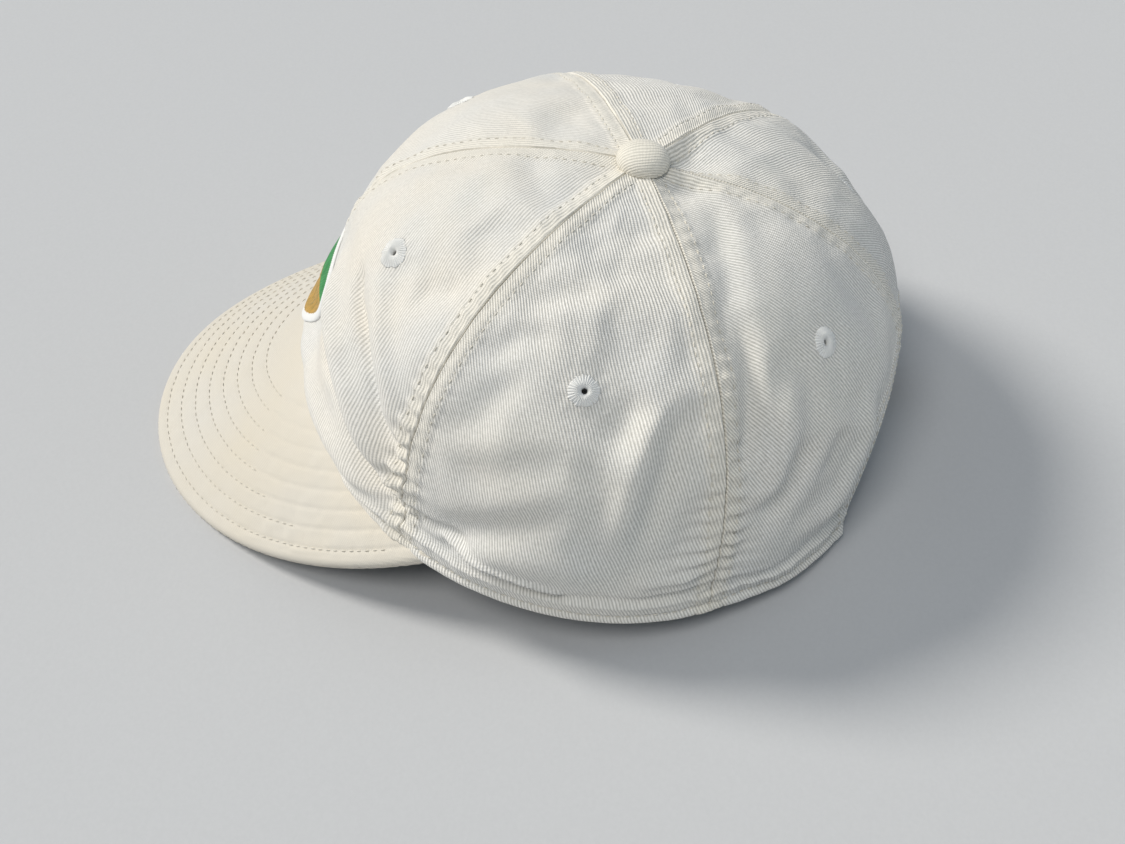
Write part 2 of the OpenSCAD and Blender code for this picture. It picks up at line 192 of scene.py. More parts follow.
def narrowing(e):
    return np.maximum(np.cos(np.radians(e)), 0) ** TAPER


def shape(a, e):
    """Smooth outside of the crown, as in the CAD."""
    a, e = np.broadcast_arrays(np.asarray(a, float), np.asarray(e, float))
    ra, n = np.radians(a), narrowing(e)
    z = HEIGHT * np.maximum(np.sin(np.radians(e)), 0) ** SHOULDER
    return np.stack([SIDE * np.sin(ra) * n, -half_length(a) * np.cos(ra) * n, z], -1)


def shape_normal(a, e):
    """Unit vector out of the smooth crown."""
    step = 0.4
    low, high = np.maximum(e - step, 0), np.minimum(e + step, 89.9)
    along = shape(a + step, e) - shape(a - step, e)
    up = shape(a, high) - shape(a, low)
    return unit(np.cross(along, up))


def ring_scale(a, e):
    """Millimetres per degree round the crown."""
    ra = np.radians(a)
    return np.hypot(SIDE * np.cos(ra), half_length(a) * np.sin(ra)) * narrowing(e) * math.pi / 180


# Height angles up the side of the crown, with the climb and the height that belong to each
PROFILE_E = np.linspace(0, 90, 1801) ** 2 / 90
PROFILE = shape(90.0, PROFILE_E)
PROFILE_S = np.concatenate([[0], np.cumsum(np.linalg.norm(np.diff(PROFILE, axis=0), axis=1))])
E_TOP = math.degrees(math.acos((TOP_HOLE_R / SIDE) ** (1 / TAPER)))
S_TOP = float(np.interp(E_TOP, PROFILE_E, PROFILE_S))


def climb(e):
    """Distance up the crown from the rim, in millimetres."""
    return np.interp(e, PROFILE_E, PROFILE_S)


def e_at_climb(s):
    return np.interp(s, PROFILE_S, PROFILE_E)


def e_at_height(z):
    return np.interp(z, PROFILE[:, 2], PROFILE_E)


def turn_from_seam(a):
    """Nearest seam's number from 0 to 5 and the signed angle from it."""
    k = np.round(a / SPAN)
    return np.mod(k, 6).astype(int), a - k * SPAN


def wrap(a):
    return (a + 180) % 360 - 180


# ---- soft shape of the cloth ----

# Folds of the soft crown. Each has its height in millimetres, negative for a valley, its
# width, and the points it runs through as an angle and a height above the rim.
FOLDS = [
    (2.3, 5, [(108, 68), (104, 60), (102, 46), (100, 24)]),
    (-2.6, 5, [(114, 68), (110, 60), (107, 44), (104, 20)]),
    (-1.7, 6, [(105, 68), (100, 62), (94, 56)]),
    (-1.4, 7, [(92, 55), (80, 46), (67, 38)]),
    (-1.9, 5, [(66, 15), (80, 28), (94, 42)]),
    (2.0, 6, [(68, 10), (80, 18), (91, 22), (101, 22)]),
    (1.4, 4, [(103, 17), (110, 19), (118, 17)]),
    (-1.6, 5, [(105, 86), (94, 84), (88, 80)]),
    (-1.2, 5, [(90, 81), (77, 79), (67, 74)]),
    (-1.1, 4, [(81, 75), (72, 72), (66, 64)]),
    (-0.8, 5, [(76, 69), (70, 54), (65, 44)]),
    (2.4, 5, [(139, 68), (134, 57), (130, 43), (124, 36)]),
    (-2.6, 3.2, [(131, 78), (128, 68), (126, 58), (123, 47)]),
    (-2.3, 5, [(140, 52), (134, 40), (127, 31)]),
    (-1.4, 4, [(149, 48), (143, 34)]),
    (1.9, 5, [(157, 52), (156, 38), (149, 21), (133, 20)]),
    (-1.8, 5, [(152, 86), (136, 83), (128, 78), (126, 68)]),
    (-1.1, 5, [(41, 67), (52, 73)]),
    (2.6, 5, [(-68, 8), (-50, 11), (-30, 11), (-10, 12), (8, 13), (24, 14)]),
    (-2.4, 6, [(-55, 27), (-38, 28), (-24, 24)]),
    (4.0, 5, [(0, 13), (12, 14), (21, 14), (32, 14), (43, 13), (53, 10), (62, 8)]),
    (-5.0, 3.3, [(10, 37), (24, 34), (28, 31), (35, 30), (41, 27), (49, 20), (56, 15.5), (63, 11)]),
    (4.2, 3.8, [(8, 50), (18, 48), (27, 44), (35, 41), (42, 37), (49, 31), (56, 25), (63, 19)]),
    (-1.6, 3, [(20, 60), (30, 56), (37, 52), (44.5, 46.5), (50.5, 39), (60, 31)]),
    (1.8, 3.5, [(28, 65), (41, 57), (48, 51), (54, 44), (62, 37)]),
    (1.6, 6, [(-70, 12), (-84, 22), (-100, 24)]),
    (-1.9, 5, [(-100, 66), (-104, 48), (-108, 22)]),
    (1.6, 7, [(-90, 62), (-93, 42), (-92, 22)]),
    (-1.9, 5, [(-131, 64), (-136, 44), (-128, 26)]),
    (1.4, 5, [(-142, 68), (-146, 46)]),
    (-1.2, 5, [(-74, 77), (-84, 71), (-97, 74)]),
    (1.2, 5, [(-28, 58), (-42, 50), (-54, 44)]),
]
# Sharp creases: the slump above the visor's root and the pleat low on the left side
CREASES = [
    (-1.7, 1.5, [(25, 60), (30, 54.5), (37, 51.4), (44.5, 45.5), (50.5, 38), (58, 32)]),
    (1.9, 0.75, [(68, 15.4), (73, 15.4), (79, 14.9), (84, 13.9), (89, 12.5), (94, 10.6)]),
    (-1.6, 1.3, [(68, 12.9), (75, 12.4), (82, 11.5), (88, 10.4), (94, 9)]),
    (-1.8, 1.6, [(61, 14), (66, 15.6), (70, 17), (75, 17.4)]),
]
FOLD_GAIN = 1.15
# How far the stiff badge pushes the cloth out, and how far below its centre it does so most
BADGE_SWELL = 4.6
BADGE_SWELL_DROP = 9
# How deep each panel is dished beside the button, starting at the front left
DISH = [1.8, 0.9, 2.7, 4.2, 1.6, 1.3]
DISH_FROM_TOP = 15
DISH_WIDTH = 13


def line_relief(a, e, height, width, points, fade=0.3):
    """Rounded ridge or valley along a line over the crown, fading out at its ends."""
    angles = np.array([p[0] for p in points], float)
    climbs = climb(e_at_height(np.array([p[1] for p in points], float)))
    s = climb(e)
    scale = np.maximum(ring_scale(a, e), 0.15)
    steps = len(points) - 1
    best = np.full(np.broadcast(a, e).shape, 1e9)
    along = np.zeros(best.shape)
    for k in range(steps):
        px, py = wrap(a - angles[k]) * scale, s - climbs[k]
        dx, dy = (angles[k + 1] - angles[k]) * scale, climbs[k + 1] - climbs[k]
        t = np.clip((px * dx + py * dy) / (dx * dx + dy * dy), 0, 1)
        gap = np.hypot(px - t * dx, py - t * dy)
        closer = gap < best
        best = np.where(closer, gap, best)
        along = np.where(closer, (k + t) / steps, along)
    ends = smooth(along, -0.02, fade) * (1 - smooth(along, 1 - fade, 1.02))
    return height * bell(best, width) * ends


def dish_relief(a, e):
    """Hollows of the panels beside the button."""
    panel = np.mod(np.floor(a / SPAN), 6).astype(int)
    depth = np.array(DISH)[panel]
    between = np.abs(np.sin(np.radians(3 * a)))
    return -depth * between * bell(S_TOP - climb(e) - DISH_FROM_TOP, DISH_WIDTH)


def badge_reach(a, e, drop=0):
    """0 at the badge's centre, or drop below it, 1 at its edge, and large at the back."""
    p = shape(a, e)
    reach = np.hypot(p[..., 0] / BADGE_HALF_W, (p[..., 2] - BADGE_Z + drop) / BADGE_HALF_H)
    return np.where(p[..., 1] < 0, reach, 9)


def fold_relief(a, e):
    """Folds, hollows and the swell of the cloth that the stiff badge carries."""
    swell = 1 - smooth(badge_reach(a, e, BADGE_SWELL_DROP), 0.2, 1.6)
    total = dish_relief(a, e) + BADGE_SWELL * swell
    for height, width, points in FOLDS:
        total = total + line_relief(a, e, FOLD_GAIN * height, width, points)
    return total


# Rows and columns of the coarse crown that is draped, how many frames it gets, and how far a
# point may move; the negative shrink is how much too large the cloth is
DRAPE_COLUMNS = 180
DRAPE_ROWS = 46
DRAPE_FRAMES = 30
DRAPE_LIMIT = 3.0
DRAPE_CLOTH = {
    "quality": 6, "mass": 0.0004, "tension_stiffness": 12, "compression_stiffness": 12,
    "shear_stiffness": 3, "bending_stiffness": 0.25, "shrink_min": -0.026,
    "vertex_group_mass": "sewn", "pin_stiffness": 1.0,
}
# Movement of each point of the coarse crown, all zero until drape_crown fills it
DRAPED = np.zeros((DRAPE_COLUMNS, DRAPE_ROWS))


def drape_grid():
    """Angles and height angles of the coarse crown's points."""
    a = np.arange(DRAPE_COLUMNS) * 360 / DRAPE_COLUMNS
    e = e_at_climb(np.linspace(0, S_TOP, DRAPE_ROWS))
    return np.meshgrid(a, e, indexing="ij")


def drape_mesh(points):
    """Open cloth over the crown, without the back opening."""
    def at(i, j):
        return (i % DRAPE_COLUMNS) * DRAPE_ROWS + j

    faces = quads(DRAPE_COLUMNS, DRAPE_ROWS - 1, at)
    solid = (arch_distance(*drape_grid()) > -2)[:, :-1]
    mesh = bpy.data.meshes.new("drape")
    mesh.from_pydata((to_standing(points) * MM).reshape(-1, 3).tolist(), [], faces[solid].tolist())
    return new_object("drape", mesh)


def drape_holds(a, e):
    """How firmly each point is held: rim, top, seams and the opening's edge are sewn."""
    seam = bell(turn_from_seam(a)[1] * ring_scale(a, e), 3.2)
    edge = 1 - smooth(np.abs(arch_distance(a, e)), 2, 5)
    badge = 0.9 * (1 - smooth(badge_reach(a, e), 0.9, 1.4))
    held = np.maximum.reduce([0.5 * seam, 0.9 * edge * (arch_height(a) > 0), badge])
    held[:, 0] = 1
    held[:, -2:] = 1
    return held


def drape_crown():
    """Lets slightly too much cloth settle over the crown and returns how far it moved."""
    a, e = drape_grid()
    rest = shape(a, e) + shape_normal(a, e) * fold_relief(a, e)[..., None]
    obj = drape_mesh(rest)
    group = obj.vertex_groups.new(name="sewn")
    for index, weight in enumerate(drape_holds(a, e).ravel()):
        group.add([index], float(weight), "REPLACE")
    set_all(obj.modifiers.new("drape", "CLOTH").settings, DRAPE_CLOTH)
    scene = bpy.context.scene
    for number in range(1, DRAPE_FRAMES + 1):
        scene.frame_set(number)
    settled = mesh_points(obj.evaluated_get(bpy.context.evaluated_depsgraph_get()).data)
    scene.frame_set(1)
    bpy.data.objects.remove(obj)
    moved = ((settled.reshape(rest.shape) - rest) * shape_normal(a, e)).sum(-1)
    moved = DRAPE_LIMIT * np.tanh(moved / DRAPE_LIMIT)
    moved = 0.5 * moved + 0.25 * (np.roll(moved, 1, 0) + np.roll(moved, -1, 0))
    moved[:, 1:-1] = 0.5 * moved[:, 1:-1] + 0.25 * (moved[:, :-2] + moved[:, 2:])
    return moved


def draped(a, e):
    """Movement of the draped cloth between the points of its grid."""
    u = np.mod(a, 360) / 360 * DRAPE_COLUMNS
    v = np.clip(climb(e) / S_TOP, 0, 1) * (DRAPE_ROWS - 1)
    u, v = np.broadcast_arrays(u, v)
    i, j = np.floor(u).astype(int), np.minimum(np.floor(v).astype(int), DRAPE_ROWS - 2)
    f, g = u - i, v - j

    def along(row):
        row = np.clip(row, 0, DRAPE_ROWS - 1)
        p0, p1, p2, p3 = (DRAPED[(i + k) % DRAPE_COLUMNS, row] for k in (-1, 0, 1, 2))
        return cubic(p0, p1, p2, p3, f)

    return cubic(along(j - 1), along(j), along(j + 1), along(j + 2), g)


def cubic(p0, p1, p2, p3, t):
    """Smooth curve through p1 and p2."""
    return p1 + 0.5 * t * (p2 - p0 + t * (2 * p0 - 5 * p1 + 4 * p2 - p3 + t * (3 * (p1 - p2) + p3 - p0)))


def bulge(a, e):
    """How far the soft cloth stands off the smooth shape, without its fine relief."""
    return fold_relief(a, e) + draped(a, e)


# ---- fine relief of the cloth ----

# Every height, width and pitch in these functions is in millimetres. The last number given to
# noise and noise_1d is only a seed.

# Beside a seam, the folded allowance's width and the distance of the topstitching
BAND_W = 4.9
STITCH_X = 4.3
PUCKER_PITCH = 5.2
GATHER_PITCH = 4.7
# How hard each of the six seams puckers on its lower-angle and its higher-angle side
PUCKER = np.array([(0.7, 0.6), (2.0, 1.0), (0.6, 1.9), (0.9, 0.25), (1.0, 0.6), (0.5, 1.1)])
# How far the gathers at each seam's foot reach to those sides
GATHER = np.array([(5, 5), (9, 6), (17, 10), (5, 5), (10, 15), (6, 9)])


def seam_pucker(k, side, d, s):
    """Puckers between a seam and its topstitching; d is the distance from the seam."""
    strength = PUCKER[k, side] * (0.28 + 0.95 * bell(s - 38, 36))
    path = s + np.where(side == 0, -0.35, 0.3) * d + (k * 37.1 + side * 11.3)
    wave = np.sin(2 * math.pi * path / PUCKER_PITCH + 2.2 * noise_1d(path, 13, 5))
    ridge = 0.6 * wave - 0.4 * (1 - np.abs(wave))
    patch = 0.55 + 0.45 * noise_1d(path, 17, 9)
    reach = 1 - smooth(d, BAND_W - 0.6, BAND_W + 1.5 + 5 * bell(s, 35))
    return strength * ridge * patch * reach * smooth(d, 0.5, 2.0)


def seam_gathers(k, side, d, s, points):
    """Short folds at a seam's foot, where the rim draws the panels together."""
    spread = GATHER[k, side]
    rows = np.sin(2 * math.pi * (s + 0.12 * d) / GATHER_PITCH + 1.7 * noise_1d(s + 61 * k, 9, 13))
    wide = spread * np.clip(1.1 - s / 62, 0.25, 1)
    foot = 1.35 * rows * (0.65 + 0.35 * noise(points, 8, 14)) * bell(d, wide)
    foot = foot * (1 - smooth(s, 26, 28 + 2 * spread)) * smooth(s, 6, 12)
    return foot * (0.4 + 0.6 * smooth(d, 0.5, 3))


def seam_relief(a, e):
    """Groove, folded allowance, stitch dent, puckers and gathers beside each seam."""
    k, turn = turn_from_seam(a)
    x = turn * ring_scale(a, e)
    d, s = np.abs(x), climb(e)
    side = np.where(x < 0, 0, 1)
    above_hem = smooth(s, 2, 9)
    band = 0.5 * smooth(d, 0.0, 0.5) * (1 - smooth(d, BAND_W - 0.5, BAND_W + 1.1)) * above_hem
    lower_side = np.where(x < 0, 0, 0.16) * bell(d - 1.1, 0.8)
    groove = (-0.2 * bell(d, 0.22) - lower_side) * above_hem
    stitch = -0.26 * bell(d - STITCH_X, 0.5)
    pucker = seam_pucker(k, side, d, s)
    return band + groove + stitch + pucker + seam_gathers(k, side, d, s, shape(a, e))


HEM_STITCH_Z = 3.9
HEM_TOP_Z = 8.8
HEM_RIPPLE_PITCH = 6.1
# Distances of the stitch rows from the back opening's edge, and of the turned edge's end
OPENING_ROWS = (1.9, 5.6)
OPENING_FOLD = 6.0


def hem_relief(a, e):
    """Turned and stitched lower edge of the crown."""
    z = shape(a, e)[..., 2]
    along = a * SIDE * math.pi / 180
    fold = 0.5 * (1 - smooth(z, HEM_STITCH_Z + 0.2, HEM_STITCH_Z + 0.9))
    fold = fold + 0.65 * (1 - smooth(z, HEM_TOP_Z - 0.3, HEM_TOP_Z + 0.6))
    roll = 0.8 * bell(z - 1.8, 1.1) - 1.2 * (1 - np.clip(z / 1.3, 0, 1)) ** 2
    dent = -1.0 * bell(z - HEM_STITCH_Z, 0.65) - 0.8 * bell(z - HEM_TOP_Z - 1.9, 1.3)
    dent = dent + 0.45 * bell(z - HEM_TOP_Z + 0.6, 0.8)
    path = along + 0.5 * z
    ripple = np.sin(2 * math.pi * path / HEM_RIPPLE_PITCH + 2.5 * noise_1d(path, 19, 21))
    ripple = ripple * (0.5 + 0.5 * noise_1d(path, 31, 22)) * bell(z - 6.5, 4.0) * 0.3
    return fold + roll + dent + ripple


def from_back(a):
    """Angle from the back's middle, without its sign."""
    return np.abs(np.abs(wrap(a)) - 180)


def arch_height(a):
    """Height of the back opening's arch at the angle a, or 0 outside it."""
    b = from_back(a)
    return np.where(b < OPENING_HALF, OPENING_H * np.sqrt(np.maximum(1 - (b / OPENING_HALF) ** 2, 0)), 0)


def arch_distance(a, e):
    """Rough distance from the arch's edge, in millimetres."""
    b, z = from_back(a) / OPENING_HALF, shape(a, e)[..., 2] / OPENING_H
    return (np.hypot(b, z) - 1) * OPENING_HALF_W


def arch_relief(a, e):
    """Turned edge of the back opening."""
    d = np.maximum(arch_distance(a, e), 0)
    fold = 0.45 * (1 - smooth(d, OPENING_FOLD, OPENING_FOLD + 1.2))
    roll = -0.9 * (1 - np.clip(d / 1.3, 0, 1)) ** 2
    low_row, high_row = OPENING_ROWS
    return fold + roll - 0.28 * bell(d - high_row, 0.5) - 0.2 * bell(d - low_row, 0.45)


EYELET_ANGLES = {
    "eyelet_front_left": 30, "eyelet_side_left": 90, "eyelet_back_left": 150,
    "eyelet_back_right": -150, "eyelet_side_right": -90, "eyelet_front_right": -30,
}


def from_eyelet(a, e, angle):
    """Sideways and upward distance from the eyelet at an angle, in millimetres."""
    return wrap(a - angle) * ring_scale(angle, EYELET_E), climb(e) - climb(EYELET_E)


def eyelet_calm(a, e):
    """0 where an eyelet's stitching holds the cloth flat, 1 elsewhere."""
    calm = 1.0
    for angle in EYELET_ANGLES.values():
        calm = calm * smooth(np.hypot(*from_eyelet(a, e, angle)), 4.4, 8.0)
    return calm


def eyelet_relief(a, e):
    """Cloth drawn in round each eyelet."""
    total = np.zeros(np.broadcast(a, e).shape)
    for angle in EYELET_ANGLES.values():
        x, y = from_eyelet(a, e, angle)
        r = np.hypot(x, y)
        around = np.arctan2(y, x)
        total += -0.16 * bell(r - 6.2, 1.5)
        total += 0.1 * np.sin(9 * around + 0.03 * angle) * bell(r - 6.0, 2.0)
    return total


def cloth_relief(a, e):
    """Fine relief of the crown's cloth, which the badge covers."""
    p = shape(a, e)
    soft = (0.16 * noise(p, 17, 3) + 0.07 * noise(p, 6, 4)) * eyelet_calm(a, e)
    edge = np.where(from_back(a) < OPENING_HALF + 14, arch_relief(a, e), 0)
    hem = hem_relief(a, e) * smooth(arch_distance(a, e), 0.5, 4)
    creases = sum(line_relief(a, e, *line, fade=0.14) for line in CREASES)
    relief = seam_relief(a, e) + hem + edge + eyelet_relief(a, e) + soft + creases
    return relief * smooth(badge_reach(a, e), 0.97, 1.15)


def cloth(a, e, off=0.0, fine=True):
    """Point of the soft crown, off millimetres above its cloth."""
    a, e = np.broadcast_arrays(np.asarray(a, float), np.asarray(e, float))
    lift = off + bulge(a, e)
    if fine:
        lift = lift + cloth_relief(a, e)
    return shape(a, e) + shape_normal(a, e) * lift[..., None]


# ---- meshes ----

def set_cloth_uv(mesh, uv):
    """Gives every corner its place on the flat cloth, in millimetres."""
    layer = mesh.uv_layers.new(name="cloth")
    corners = np.empty(len(mesh.loops), np.int32)
    mesh.loops.foreach_get("vertex_index", corners)
    layer.data.foreach_set("uv", np.asarray(uv, float).reshape(-1, 2)[corners].ravel())


def new_object(name, data):
    """Object in the scene for a mesh, a camera or a lamp."""
    obj = bpy.data.objects.new(name, data)
    bpy.context.scene.collection.objects.link(obj)
    return obj


def new_mesh_object(name, points, faces, cloth_uv=None, tone=None):
    """Object from points in millimetres on a level rim, with optional per-point data."""
    mesh = bpy.data.meshes.new(name)
    standing = to_standing(np.asarray(points, float).reshape(-1, 3)) * MM
    mesh.from_pydata(standing.tolist(), [], faces)
    if cloth_uv is not None:
        set_cloth_uv(mesh, cloth_uv)
    if tone is not None:
        data = mesh.attributes.new("tone", "FLOAT", "POINT")
        data.data.foreach_set("value", np.asarray(tone, float).ravel())
    mesh.polygons.foreach_set("use_smooth", np.ones(len(mesh.polygons), bool))
    mesh.update()
    return new_object(name, mesh)


def at_edge(keep, axis, end, loops):
    """Kept cells with no kept cell beside them, looking back for end 0 and ahead for end 1."""
    beside = np.roll(keep, 1 - 2 * end, axis)
    if not loops:
        beside[(-end, slice(None)) if axis == 0 else (slice(None), -end)] = False
    return keep & ~beside


def grid_faces(keep, loop_u, count):
    """Quads of a closed shell over the kept cells of a grid, with walls round its edges.

    The points of the inner sheet are numbered from count, in the order of the outer one.
    """
    nu, nv = keep.shape
    cols = nu if loop_u else nu + 1

    def at(i, j):
        return (i % cols) * (nv + 1) + j

    top = quads(nu, nv, at)[keep]
    faces = [top, top[:, ::-1] + count]
    for axis, loops in ((1, False), (0, loop_u)):
        for end in (0, 1):
            u, v = np.nonzero(at_edge(keep, axis, end, loops))
            u, v = u + end * (1 - axis), v + end * axis
            p, q = at(u, v), at(u + axis, v + 1 - axis)
            wall = np.stack([p, q, q + count, p + count], -1)
            faces.append(wall if axis == end else wall[:, ::-1])
    return np.concatenate(faces)


def facing_out(points, faces):
    """The quads of a closed shell, all turned over if they face inwards."""
    a, b, c, d = np.moveaxis(points[faces], 1, 0)
    volume = (np.cross(c - a, d - b) * (a + b + c + d)).sum()
    return faces if volume > 0 else faces[:, ::-1]


def shell(name, outer, inner, keep=None, loop_u=False, uv=None, tone=None):
    """Closed shell between two grids of points; keep says which cells are there."""
    cols, rows = outer.shape[:2]
    if keep is None:
        keep = np.ones((cols if loop_u else cols - 1, rows - 1), bool)
    count = cols * rows
    faces = grid_faces(keep, loop_u, count)
    used = np.unique(faces)
    renumber = np.full(2 * count, -1)
    renumber[used] = np.arange(len(used))
    points = np.concatenate([outer.reshape(-1, 3), inner.reshape(-1, 3)])[used]
    faces = facing_out(points, renumber[faces])

    def twice(data, width):
        if data is None:
            return None
        flat = np.asarray(data, float).reshape(-1, width)
        return np.concatenate([flat, flat])[used]

    return new_mesh_object(name, points, faces.tolist(), twice(uv, 2), twice(tone, 1))


def ring_tube(name, rings):
    """Tube through a closed loop of rings of points, shape (rings, points, 3)."""
    count, size = rings.shape[:2]

    def at(i, j):
        return (i % count) * size + j % size

    return new_mesh_object(name, rings, quads(count, size, at).reshape(-1, 4).tolist())


def finish_piece(obj, material, body="crown", replaces=()):
    """Gives a piece its material and body, and hides the CAD nodes that it stands for."""
    obj.data.materials.clear()
    obj.data.materials.append(material)
    if replaces:
        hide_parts(*replaces)
    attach(obj, body)


def shell_piece(name, node, material, slot, outer, inner, body="crown", **data):
    """Closed shell that stands for one CAD node."""
    finish_piece(shell(name, outer, inner, **data), material, body, [node])


# ---- thread ----

# Points round a stitch and along it, how far its middle stands up and its ends dip
STITCH_SIDES = 6
STITCH_RINGS = 7
STITCH_RISE = 0.22
STITCH_DIP = 0.28


def stitch_mesh(name, starts, ends, normals, radius):
    """Rounded stitches between pairs of points, arched along the normals."""
    side = unit(np.cross(normals, unit(ends - starts)))
    t = np.linspace(0, 1, STITCH_RINGS)
    arch = STITCH_RISE * np.sin(math.pi * t) - STITCH_DIP * (1 - np.sin(math.pi * t)) ** 2
    fat = radius * np.sqrt(np.maximum(1 - (2 * t - 1) ** 4, 0.04))
    ring = np.arange(STITCH_SIDES) * 2 * math.pi / STITCH_SIDES
    centre = starts[:, None] + (ends - starts)[:, None] * t[None, :, None]
    centre = centre + normals[:, None] * arch[None, :, None]
    points = centre[:, :, None] + fat[None, :, None, None] * (
        side[:, None, None] * np.cos(ring)[None, None, :, None]
        + normals[:, None, None] * np.sin(ring)[None, None, :, None])
    size = STITCH_RINGS * STITCH_SIDES

    def at(i, j):
        return i % STITCH_SIDES + j * STITCH_SIDES

    firsts = np.arange(len(starts))[:, None, None] * size
    walls = quads(STITCH_SIDES, STITCH_RINGS - 1, at).reshape(-1, 4)
    round_end = np.arange(STITCH_SIDES)
    caps = np.stack([round_end[::-1], round_end + size - STITCH_SIDES])
    faces = (walls + firsts).reshape(-1, 4).tolist()
    return new_mesh_object(name, points, faces + (caps + firsts).reshape(-1, STITCH_SIDES).tolist())


def stitches_along(path, normals, pitch, gap, seed):
    """Start and end points of even stitches along a path of points."""
    step = np.linalg.norm(np.diff(path, axis=0), axis=1)
    s = np.concatenate([[0], np.cumsum(step)])
    count = max(int(s[-1] // pitch), 1)
    begin = np.arange(count) * pitch + 0.5 * gap
    shake = 0.08 * pitch * noise_1d(np.arange(count) * 3.7, 1.0, seed)
    first, last = begin + shake, begin + pitch - gap + shake

    def sample(data, where):
        return np.stack([np.interp(where, s, data[:, c]) for c in range(3)], -1)

    return sample(path, first), sample(path, last), unit(sample(normals, 0.5 * (first + last)))


def split_path(plan, widest):
    """Pieces of a path between its gaps."""
    gaps = np.linalg.norm(np.diff(plan, axis=0), axis=1)
    pieces = np.split(plan, np.nonzero(gaps > widest)[0] + 1)
    return [piece for piece in pieces if len(piece) > 6]


def stitch_piece(name, runs, radius, material, body="crown", pitch=2.7, gap=0.8):
    """One piece of stitches along several (path, normals) runs."""
    parts = [stitches_along(path, normals, pitch, gap, k) for k, (path, normals) in enumerate(runs)]
    starts, ends, normals = (np.concatenate([p[c] for p in parts]) for c in range(3))
    finish_piece(stitch_mesh(name, starts, ends, normals, radius), material, body)


def crown_run(angles, es, off=0.1):
    """Path on the cloth and its normals."""
    return cloth(angles, es, off), shape_normal(angles, es)


# ---- materials ----

class Paint:
    """Short-hand for building one node material."""

    def __init__(self, name):
        self.material = bpy.data.materials.new(name)
        self.material.use_nodes = True
        self.tree = self.material.node_tree
        self.bsdf = self.tree.nodes["Principled BSDF"]

    def node(self, kind, **inputs):
        made = self.tree.nodes.new("ShaderNode" + kind)
        for key, value in inputs.items():
            self.plug(made.inputs[key], value)
        return made

    def plug(self, socket, value):
        if isinstance(value, bpy.types.NodeSocket):
            self.tree.links.new(value, socket)
        else:
            socket.default_value = value

    def math(self, operation, a, b=0.0, c=0.0):
        made = self.tree.nodes.new("ShaderNodeMath")
        made.operation = operation
        for socket, value in zip(made.inputs, (a, b, c)):
            self.plug(socket, value)
        return made.outputs[0]

    def times(self, a, b):
        return self.math("MULTIPLY", a, b)

    def madd(self, a, b, c):
        """a times b, plus c."""
        return self.math("MULTIPLY_ADD", a, b, c)

    def mix(self, factor, first, second, mode="MIX"):
        made = self.tree.nodes.new("ShaderNodeMix")
        made.data_type = "RGBA"
        made.blend_type = mode
        self.plug(made.inputs[0], factor)
        self.plug(made.inputs[6], first)
        self.plug(made.inputs[7], second)
        return made.outputs[2]

    def noise(self, vector, scale, detail=2.0, rough=0.5):
        made = self.node("TexNoise", Vector=vector, Scale=scale, Detail=detail, Roughness=rough)
        return made.outputs["Fac"]

    def stretch(self, vector, x, y, z):
        return self.node("Mapping", Vector=vector, Scale=(x, y, z)).outputs[0]

    def shaded(self, color, shade, blue):
        """The colour times a shade, with a shade of its own for blue."""
        tint = self.node("CombineColor", Red=shade, Green=shade, Blue=blue)
        return self.mix(1.0, color, tint.outputs[0], "MULTIPLY")

    def ramp(self, value, low, high):
        """0 at low and 1 at high, straight in between."""
        made = self.tree.nodes.new("ShaderNodeMapRange")
        self.plug(made.inputs[0], value)
        self.plug(made.inputs[1], low)
        self.plug(made.inputs[2], high)
        return made.outputs[0]

    def cloth_uv(self):
        """Place on the flat cloth in millimetres, whole and as its two parts."""
        made = self.tree.nodes.new("ShaderNodeUVMap")
        made.uv_map = "cloth"
        split = self.tree.nodes.new("ShaderNodeSeparateXYZ")
        self.tree.links.new(made.outputs[0], split.inputs[0])
        return made.outputs[0], split.outputs[0], split.outputs[1]

    def position(self):
        return self.tree.nodes.new("ShaderNodeTexCoord").outputs["Object"]

    def attribute(self, name):
        made = self.tree.nodes.new("ShaderNodeAttribute")
        made.attribute_name = name
        return made.outputs["Fac"]

    def bump(self, height, distance, strength):
        return self.node("Bump", Height=height, Distance=distance, Strength=strength).outputs[0]

    def finish(self, color, rough, normal=None, **others):
        """Plugs the surface together; others are further inputs with _ for a space."""
        self.plug(self.bsdf.inputs["Base Color"], color)
        self.plug(self.bsdf.inputs["Roughness"], rough)
        if normal is not None:
            self.plug(self.bsdf.inputs["Normal"], normal)
        for key, value in others.items():
            self.plug(self.bsdf.inputs[key.replace("_", " ")], value)
        return self.material


def rgba(r, g, b):
    return (r, g, b, 1.0)


OFF_WHITE = rgba(0.83, 0.80, 0.735)
WARM = rgba(0.85, 0.80, 0.69)
COOL = rgba(0.78, 0.77, 0.735)
# Pitch and lean of the twill's wales, and the pitch of the short yarns that cross them
WALE_PITCH = 0.87
WALE_ANGLE = 115.0
FLOAT_PITCH = 0.62
# Mean height of a wale, and the mean painted shade that the twill keeps whatever the strength of its painted
# groove shade
WALE_MEAN = 0.58
WALE_SHADE_MEAN = 0.915


